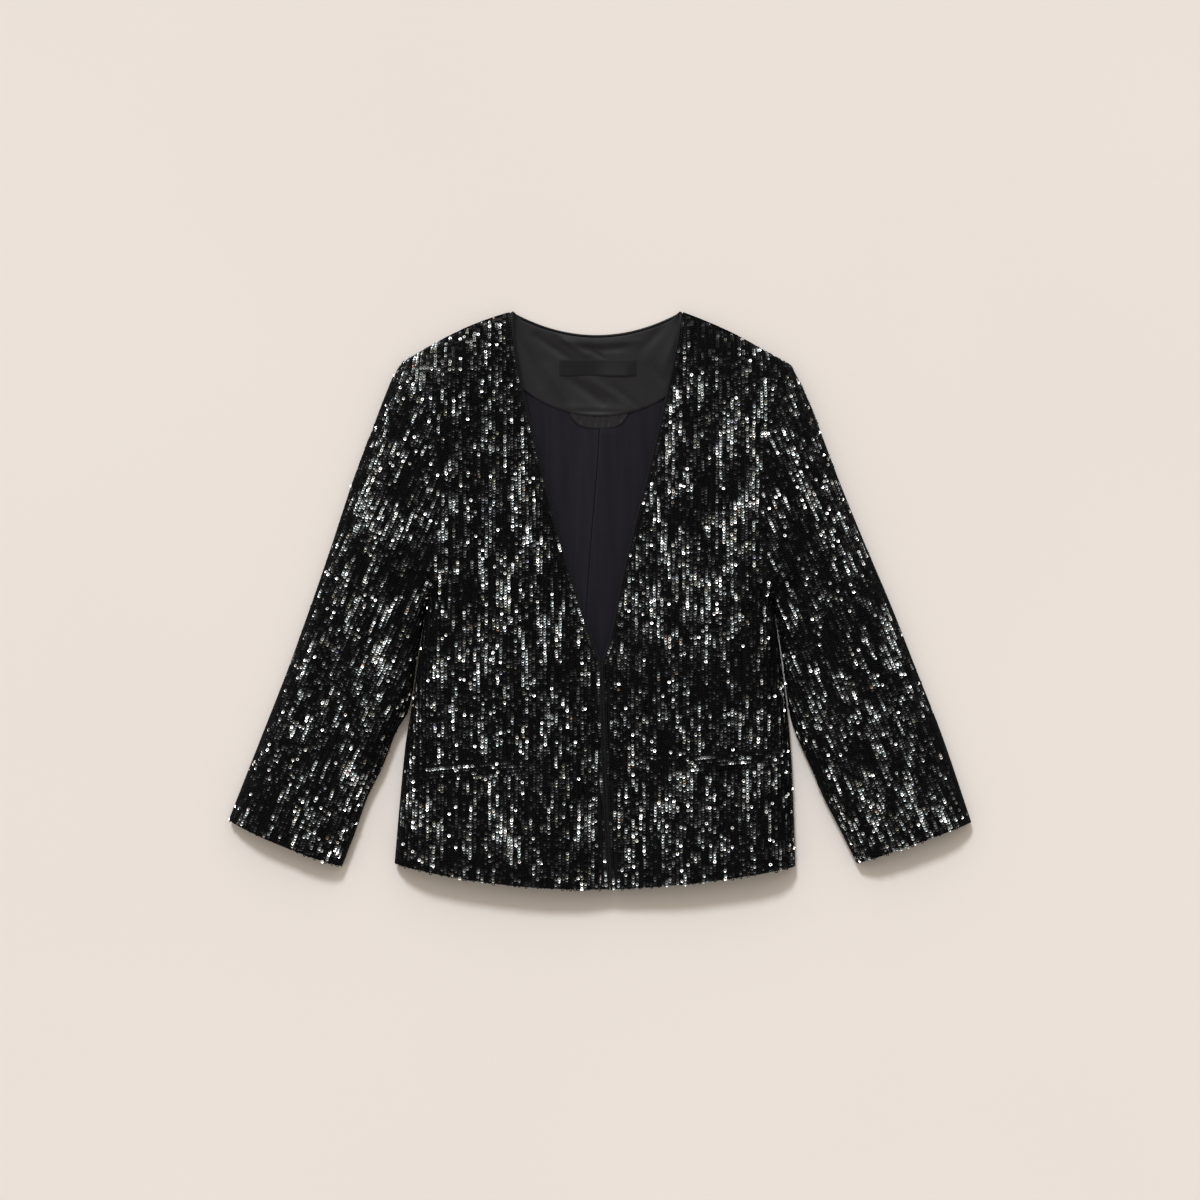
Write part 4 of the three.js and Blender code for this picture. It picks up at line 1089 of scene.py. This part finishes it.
# Soft wrinkles of the satin facing: troughs, and ridges where depth is negative.
FACING_WRINKLES = table(
    "x0 y0 x1 y1 width depth",
    (-40, 259.5, -2, 256.5, 3.4, -0.7), (-2, 256.5, 40, 259.5, 3.4, -0.7),
    (-20, 252, 4, 250.5, 3.6, 0.75), (4, 250.5, 27, 252.5, 3.6, 0.75), (-64, 264, -26, 238, 4.0, 1.3),
    (-46, 268, -14, 245, 3.4, -1.0), (-8, 249, 4, 242, 2.4, 0.9), (-30, 221, 2, 197, 5.0, 1.6),
    (-12, 222, 22, 199, 4.0, -0.9), (14, 214, 34, 196, 3.6, 0.9), (66, 277, 42, 250, 5.0, 1.0),
    (52, 234, 68, 214, 4.6, 0.8), (-74, 252, -60, 216, 5.0, 0.9), (-52, 232, -38, 204, 4.2, -0.7),
    (-34, 189, 24, 187.5, 2.8, 0.9), (78, 268, 62, 230, 4.6, -0.7), (-86, 276, -76, 246, 4.0, 0.7),
)


def laid(name, x, y, rise, lift, wall, upper=False):
    """A sheet that lies on a layer: plan grids, the height over the layer's face, and the wall."""
    z, normal = surface(x, y, upper)
    up = normal if upper else -normal
    points = np.dstack([x, y, z + rise]) + up * lift
    return cloth(name, points, (0, 0, 1), wall)


def facing_low(x):
    return FACING_LOW_CENTRE + FACING_LOW_RISE * (np.abs(x) / FACING_HALF_WIDTH) ** 2.2


def facing_high(x):
    """Top edge of the facing: up to the back neck's piping and into the corners at the neck points."""
    neck = np.where(x < 0, SIDES["right"]["neck_point"], SIDES["left"]["neck_point"])
    level = back_neck_level(x, 2.9 - 2.1 * smooth((np.abs(x) - neck + 10) / 8))
    for side in SIDES:
        part = SIDES[side]
        out, _ = tip(side)
        t = np.clip((out - np.abs(x)) / (out - part["neck_point"]), 0, 1)
        seam = shoulder_line(side, t)[1] - 1.5
        beyond = (np.sign(x) == part["sign"]) & (np.abs(x) > part["neck_point"] - 4)
        level = np.where(beyond, np.minimum(level, seam), level)
    return level


def rounded_edge(u, v, width_u, width_v):
    """How far a thin sheet turns down at its rims: 0 inside, 1 at the rim."""
    return np.maximum(np.clip(1 - np.minimum(u, 1 - u) / width_u, 0, 1) ** 2,
                      np.clip(1 - np.minimum(v, 1 - v) / width_v, 0, 1) ** 2)


def grid(columns, rows):
    """Shares across and up a sheet."""
    return np.linspace(0, 1, columns)[None, :], np.linspace(0, 1, rows)[:, None]


def neck_facing():
    u, v = grid(150, 84)
    x = -FACING_HALF_WIDTH + 2 * FACING_HALF_WIDTH * u + 0 * v
    low, high = facing_low(x), facing_high(x)
    y = low + (high - low) * v
    up = v * (high - low)
    over_loop = smooth((LOOP["half_width"] + 7 - np.abs(x - LOOP["centre"])) / 12) * np.exp(-((up / 9) ** 2))
    wrinkles = FACING_WRINKLING * fold_depth(x, y, FACING_WRINKLES)
    low_edge, high_edge = 0.6 * np.exp(-((up / 1.0) ** 2)), 0.25 * np.exp(-(((high - y) / 1.2) ** 2))
    rise = 0.4 - wrinkles - low_edge + 1.2 * over_loop
    rise = rise - high_edge
    return laid("neck_facing_satin", x, y, rise + ON_BACK + FACING_LIFT, 0, 0.6)


def back_lining():
    fold = np.concatenate([np.linspace(-24, -2, 10), np.linspace(-1.4, 1.4, 13), np.linspace(2.2, 24, 10)])
    v = np.linspace(0, 1, 90)[:, None]
    level = LINING_HEM_LEVEL + (FACING_LOW_CENTRE - LINING_HEM_LEVEL) * v
    middle = column_at(PLEAT, level, "x")
    left = np.linspace(0, 1, 34)[None, :-1]
    right = np.linspace(0, 1, 34)[None, 1:]
    left_x = -LINING_HALF_WIDTH + (middle + fold[0] + LINING_HALF_WIDTH) * left
    right_x = middle + fold[-1] + (LINING_HALF_WIDTH - middle - fold[-1]) * right
    x = np.concatenate([left_x, middle + fold[None, :], right_x], axis=1)
    high = np.minimum(facing_low(x), LINING_TOP_LEVEL) - 0.35
    y = LINING_HEM_LEVEL + (high - LINING_HEM_LEVEL) * v
    rise = np.interp(x - middle, PLEAT_PROFILE["offset"], PLEAT_PROFILE["rise"])
    broad = 0.22 * np.sin(x / 5.3 + 0.004 * y) * np.sin(x / 13.0 + 1.0)
    rise = rise + broad + 0.15 * np.sin(x / 3.1 + y / 90)
    under_loop = smooth((LOOP["half_width"] + 3 - np.abs(x - LOOP["centre"])) / 4)
    under_loop = under_loop * smooth((y - FACING_LOW_CENTRE + LOOP["depth"] - 1) / 3)
    rise = rise * (1 - under_loop) - 0.3 * under_loop
    return laid("back_lining_cloth", x, y, rise, ON_BACK + 0.6, 0.4)


def label_band():
    u, v = grid(64, 20)
    x = LABEL["x0"] + (LABEL["x1"] - LABEL["x0"]) * u + 0 * v
    y = LABEL["y0"] + (LABEL["y1"] - LABEL["y0"]) * v + 0.5 * np.sin(3.1 * u) * (1 - v)
    rise = LABEL["lift"] * smooth((u - 0.4) / 0.3) * smooth((1 - u) / 0.16) * (1 - v) ** 1.3
    rise = rise - 0.12 * rounded_edge(u, v, 0.015, 0.07)
    return laid("label_satin", x, y, rise, ON_FACING + 1.0, 0.4)


def hanging_loop():
    u, v = grid(96, 20)
    s = 2 * u - 1
    x = LOOP["centre"] + LOOP["half_width"] * s + 0 * v
    high = facing_low(x) + 2.0
    depth = LOOP["end_depth"] + (LOOP["depth"] - LOOP["end_depth"]) * (1 - np.abs(s) ** 4.2) ** 0.9
    y = high - (depth + 1) * (1 - v)
    crimps = 0.0
    for at, deep in LOOP_CRIMPS:
        crimps = crimps + deep * np.exp(-(((s - at - 0.03 * np.sin(4 * v)) / 0.04) ** 2)) * smooth(v * 1.8)
    rim = np.clip(1 - v * depth / 2.4, 0, 1)
    round_rim = (1.2 * np.sqrt(1 - rim ** 2) - 0.6) * smooth((1 - v) * 7)
    rise = round_rim - 0.7 * crimps * smooth((1 - v) * 5)
    return laid("hanging_loop_satin", x, y, rise, ON_BACK + 1.0, 0.5)


def welt_corners(side):
    sign = SIDES[side]["sign"]
    (x0, y0), (x1, y1) = WELTS[side]["near"], WELTS[side]["far"]
    top = np.array([(sign * x0, y0), (sign * x1, y1)])
    return np.concatenate([top, top[::-1] - (0, WELT_WIDTH)])


WELT_ROW_INSET = 0.7            # from the welt's top edge to the first of its four rows
WELT_GAP = 3.8                  # from the welt's top edge to the rows over the pocket's mouth


def welt_cloth(side):
    a, b, _, _ = welt_corners(side)
    u, v = grid(90, 16)
    x = a[0] + (b[0] - a[0]) * u + 0 * v
    y = a[1] + (b[1] - a[1]) * u - WELT_WIDTH * (1 - v)
    rise = 0.2 * (1 - rounded_edge(u, v, 0.012, 0.12))
    return laid(f"pocket_welt_{side}_cloth", x, y, rise, 0, GROUND_WALL, upper=True)


# Piping: a satin tube along the edge and the flat tape that joins it to the cloth

PIPING_RADIUS = 1.4
PIPING_SINK = 1.0               # the cord's middle lies this much under the cloth's outer face
NECK_PIPING_RISE = 2.2          # and round the back neck this much over the lower layer's
TAPE_START = 2.6                # from the finished edge to where the tape leaves the cord
TAPE_OVERLAP = 0.6              # how far it reaches under the row of sequins that follows the edge
TUBE_SIDES = 12


def tube(name, path, radius):
    """A round tube along a path, closed at its ends."""
    path = np.asarray(path, float)
    ahead = np.gradient(path, axis=0)
    ahead = ahead / np.linalg.norm(ahead, axis=1)[:, None]
    side = unit(np.cross(ahead, (0.0, 0.0, 1.0)))
    up = np.cross(side, ahead)
    angle = np.arange(TUBE_SIDES) * 2 * math.pi / TUBE_SIDES
    ring = side[:, None, :] * np.cos(angle)[None, :, None] + up[:, None, :] * np.sin(angle)[None, :, None]
    size = np.full(len(path), radius)
    size[0] = size[-1] = radius * 0.55
    points = (path[:, None, :] + ring * size[:, None, None]).reshape(-1, 3)
    points = np.concatenate([points, [path[0], path[-1]]])
    quads = grid_faces(len(path), TUBE_SIDES, ring=True)
    low, high = len(points) - 2, len(points) - 1
    k = np.arange(TUBE_SIDES)
    after = (k + 1) % TUBE_SIDES
    top = (len(path) - 1) * TUBE_SIDES
    tris = np.concatenate([
        quads[:, [0, 1, 2]], quads[:, [0, 2, 3]],
        np.column_stack([after, k, np.full(TUBE_SIDES, low)]),
        np.column_stack([top + k, top + after, np.full(TUBE_SIDES, high)]),
    ])
    piece = new_object(name, points, tris)
    turn_outwards(piece)
    bpy.ops.object.shade_smooth_by_angle(angle=math.radians(60))
    return piece


def joined(name, *parts):
    only(parts[0])
    for each in parts:
        each.select_set(True)
    bpy.ops.object.join()
    piece = bpy.context.object
    piece.name = name
    return piece


def neck_path(inset, ends, count):
    x = np.linspace(-SIDES["right"]["neck_point"] + ends, SIDES["left"]["neck_point"] - ends, count)
    y = back_neck_level(x, inset)
    z, _ = surface(x, y, False)
    return x, y, z


def front_edge_row(side):
    """Places of the row of sequins that follows the front's edge."""
    y = np.linspace(HEM_CENTRE + 1.2, NECK_LEVEL - 2.5, 2000)
    x = SIDES[side]["sign"] * (column_at(FRONT_EDGE[side], y) + EDGE_ROW_INSET)
    z, _ = surface(x, y, True)
    length = np.concatenate([[0], np.cumsum(np.sqrt(np.diff(x) ** 2 + np.diff(y) ** 2 + np.diff(z) ** 2))])
    at = np.arange(0, length[-1], SEQUIN_PITCH)
    return np.interp(at, length, x), np.interp(at, length, y)


def beside_edge(side, x, y):
    """Which places are too near the row that follows the front's edge."""
    level = np.clip(y, HEM_CENTRE, NECK_LEVEL)
    return SIDES[side]["sign"] * x - column_at(FRONT_EDGE[side], level) < EDGE_ROW_INSET + EDGE_ROW_CLEARANCE


def front_piping(side):
    sign = SIDES[side]["sign"]
    neck = SIDES[side]["neck_point"]
    y = np.concatenate([np.linspace(HEM_CENTRE - 0.6, 270, 200), np.linspace(271.5, NECK_LEVEL - 1.6, 12)])
    out = column_at(FRONT_EDGE[side], y)
    z, _ = surface(sign * (out + CLOTH_INSET), y, True)
    path = np.column_stack([sign * (out + PIPING_INSET), y, z - PIPING_SINK])
    end = np.column_stack(neck_path(PIPING_INSET, 3.2, 2))[0 if sign < 0 else -1] + (0, 0, 2.0)
    corner = np.array([sign * (neck + 0.3), NECK_LEVEL - 0.6, (path[-1, 2] + end[2]) / 2])
    path = np.concatenate([path, [corner], [(corner + end) / 2], [end]])
    cord = tube(f"piping_front_{side}_satin", path, PIPING_RADIUS)
    level = np.linspace(HEM_CENTRE + 0.8, NECK_LEVEL - 5, 190)[:, None]
    reach = np.linspace(TAPE_START, EDGE_ROW_INSET + TAPE_OVERLAP, 5)[None, :]
    x = sign * (column_at(FRONT_EDGE[side], level) + reach)
    tape = laid("tape", x, level + 0 * reach, 0.15 * np.sin(reach * 2.2) + 0 * level, -0.55, 0.3, upper=True)
    return joined(f"piping_front_{side}_satin", cord, tape)


def back_neck_piping():
    x, y, z = neck_path(PIPING_INSET, 1.0, 120)
    return tube("piping_back_neck_satin", np.column_stack([x, y, z + NECK_PIPING_RISE]), PIPING_RADIUS)


# Sewing

def stitches(name, starts, ends, radius=0.16):
    """Short threads, each a four-sided bar with pointed ends, as one mesh."""
    starts, ends = np.asarray(starts, float), np.asarray(ends, float)
    ahead = unit(ends - starts)
    side = unit(np.cross(ahead, (0.0, 0.0, 1.0)))
    up = np.cross(side, ahead)
    ring = [side, up, -side, -up]
    near = [starts + (ends - starts) * 0.2 + r * radius for r in ring]
    far = [starts + (ends - starts) * 0.8 + r * radius for r in ring]
    points = np.stack([*near, *far, starts, ends], axis=1)
    faces = []
    for k in range(4):
        after = (k + 1) % 4
        faces += [(k, after, 4 + after), (k, 4 + after, 4 + k), (after, k, 8), (4 + k, 4 + after, 9)]
    faces = np.array(faces)
    index = (faces[None] + (np.arange(len(starts)) * 10)[:, None, None]).reshape(-1, 3)
    piece = new_object(name, points.reshape(-1, 3), index)
    turn_outwards(piece)
    return piece


def on_face(x, y, lift):
    z, _ = surface(x, y, False)
    return np.column_stack([x, y, z + lift])


def label_stitches():
    level = np.linspace(LABEL["y0"] + 1.0, LABEL["y1"] - 1.0, 12)
    starts, ends = [], []
    for x in (LABEL["x0"] + 1.3, LABEL["x1"] - 1.3):
        place = np.full(11, x)
        starts.append(on_face(place, level[:-1] + 0.15, ON_FACING + 1.12))
        ends.append(on_face(place, level[1:] - 0.25, ON_FACING + 1.12))
    return stitches("label_stitches", np.concatenate(starts), np.concatenate(ends))


# Dressing the part

CUTS = {                        # flat width, length and area of each cut, in metres
    "front": ((0.208, 0.580), 0.0865),
    "sleeve": ((0.300, 0.495), 0.1065),
    "back": ((0.412, 0.590), 0.198),
    "lining": ((0.300, 0.456), 0.133),
    "facing": ((0.200, 0.104), 0.0149),
    "welt": ((0.0975, 0.0135), 0.0013),
    "label": ((0.077, 0.0170), 0.0013),
    "loop": ((0.058, 0.0170), 0.00084),
}
SEEDS = {                       # of each piece's random places and finishes
    "back": 41, "front_right": 11, "front_left": 12, "sleeve_right": 21, "sleeve_left": 22,
    "under_right": 31, "under_left": 32, "welt_right": 51, "welt_left": 52,
}
SLEEVE_ROWS_START = (200, 100)  # a place on the middle row of the sleeve
MOUTH_INSET = 0.4               # the fronts' sequins reach this far over the edge of a pocket's mouth
WELT_SEQUIN_LIFT = 0.5
WELT_SEAM_INSET = 0.1


def finish_cloth(piece, outer, inner=None):
    piece.data.materials.append(outer)
    piece.data.materials.append(inner or outer)


def dress(piece, node, slot, cut, rests_on, *extras):
    """Puts a sheet and the pieces on it in place of a node."""
    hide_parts(node)
    for each in (piece, *extras):
        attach(each, BODY)
    flat, area = CUTS[cut]


def trim(piece, node):
    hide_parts(node)
    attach(piece, BODY)


def at_neck_points(x, y):
    """Places of the back so near a neck point that the piping covers them."""
    near = np.zeros(len(x), bool)
    for side in SIDES.values():
        near |= np.hypot(x - side["sign"] * side["neck_point"], y - NECK_LEVEL) < 7
    return near


def jacket_finishes():
    """Every finish of the jacket, by name."""
    return {
        "sequins": painted_light_sequin_finishes(),
        "net": ground_material(),
        "lining": lining_material(),
        "satin": satin_material("black_satin", (0.0040, 0.0036, 0.0052), (0.0080, 0.0073, 0.0098), 0.29),
        "piping": satin_material("piping_satin", (0.0020, 0.0019, 0.0022), (0.0040, 0.0038, 0.0044),
                                 0.14, 0.6),
        "label": satin_material("label_weave", (0.0026, 0.0024, 0.0030), (0.0052, 0.0048, 0.0060), 0.20),
        "thread": thread_material(),
    }


def dress_back(look):
    back = back_cloth()
    finish_cloth(back, look["net"], look["lining"])
    rows = sequins("back_sequins", back_outline(), (0, 0), (0, 1), False, SEEDS["back"], look["sequins"],
                   base_lift=UNDER_LIFT, leave_out=at_neck_points)
    dress(back, "back", "sequin_cloth", "back", ["floor"], rows)


def dress_front(side, look):
    mouth = welt_corners(side) + np.array([(0, WELT_GAP), (0, WELT_GAP), (0, 0), (0, 0)])

    def leave_out(x, y):
        return inside_polygon(x, y, mouth, MOUTH_INSET) | beside_edge(side, x, y)

    front = front_cloth(side)
    finish_cloth(front, look["net"], look["lining"])
    rows = sequins(f"front_{side}_sequins", front_outline(side, CLOTH_INSET), (0, 0), (0, 1), True,
                   SEEDS[f"front_{side}"], look["sequins"], leave_out=leave_out,
                   edge_row=front_edge_row(side))
    dress(front, f"front_{side}", "sequin_cloth", "front", ["back"], rows)


def dress_piping(side, look):
    piping = front_piping(side)
    finish_cloth(piping, look["piping"])
    trim(piping, f"piping_front_{side}")


def dress_welt(side, look):
    corners = welt_corners(side)
    welt = welt_cloth(side)
    finish_cloth(welt, look["net"])
    rows = sequins(f"pocket_welt_{side}_sequins", corners, tuple(corners[0] - (0, WELT_ROW_INSET)),
                   tuple(corners[1] - corners[0]), True, SEEDS[f"welt_{side}"], look["sequins"],
                   base_lift=WELT_SEQUIN_LIFT, inset=WELT_SEAM_INSET)
    dress(welt, f"pocket_welt_{side}", "sequin_cloth", "welt", [f"front_{side}_cloth"], rows)


def dress_sleeve(side, look):
    sleeve = sleeve_cloth(side)
    finish_cloth(sleeve, look["net"], look["lining"])
    outline = sleeve_outline(side)
    start = (SIDES[side]["sign"] * SLEEVE_ROWS_START[0], SLEEVE_ROWS_START[1])
    top = sequins(f"sleeve_{side}_sequins", outline, start, sleeve_run(side), True,
                  SEEDS[f"sleeve_{side}"], look["sequins"])
    under = sequins(f"sleeve_{side}_under_sequins", outline, start, sleeve_run(side), False,
                    SEEDS[f"under_{side}"], look["sequins"], base_lift=UNDER_LIFT)
    dress(sleeve, f"sleeve_{side}", "sequin_cloth", "sleeve", ["floor"], top, under)


def dress_neck(look):
    """The pieces inside the neck, from the piping in."""
    piping = back_neck_piping()
    finish_cloth(piping, look["piping"])
    trim(piping, "piping_back_neck")
    facing = neck_facing()
    finish_cloth(facing, look["satin"])
    dress(facing, "neck_facing", "satin", "facing", ["back_cloth"])
    lining = back_lining()
    finish_cloth(lining, look["lining"])
    dress(lining, "back_lining", "lining", "lining", ["back_cloth"])
    label = label_band()
    finish_cloth(label, look["label"])
    tacks = label_stitches()
    tacks.data.materials.append(look["thread"])
    dress(label, "label", "label_satin", "label", ["neck_facing_satin"], tacks)
    loop = hanging_loop()
    finish_cloth(loop, look["satin"])
    dress(loop, "hanging_loop", "satin", "loop", ["back_lining_cloth"])


def main():
    set_stage()
    look = jacket_finishes()
    dress_back(look)
    for side in SIDES:
        dress_front(side, look)
        dress_piping(side, look)
        dress_welt(side, look)
        dress_sleeve(side, look)
    dress_neck(look)


main()
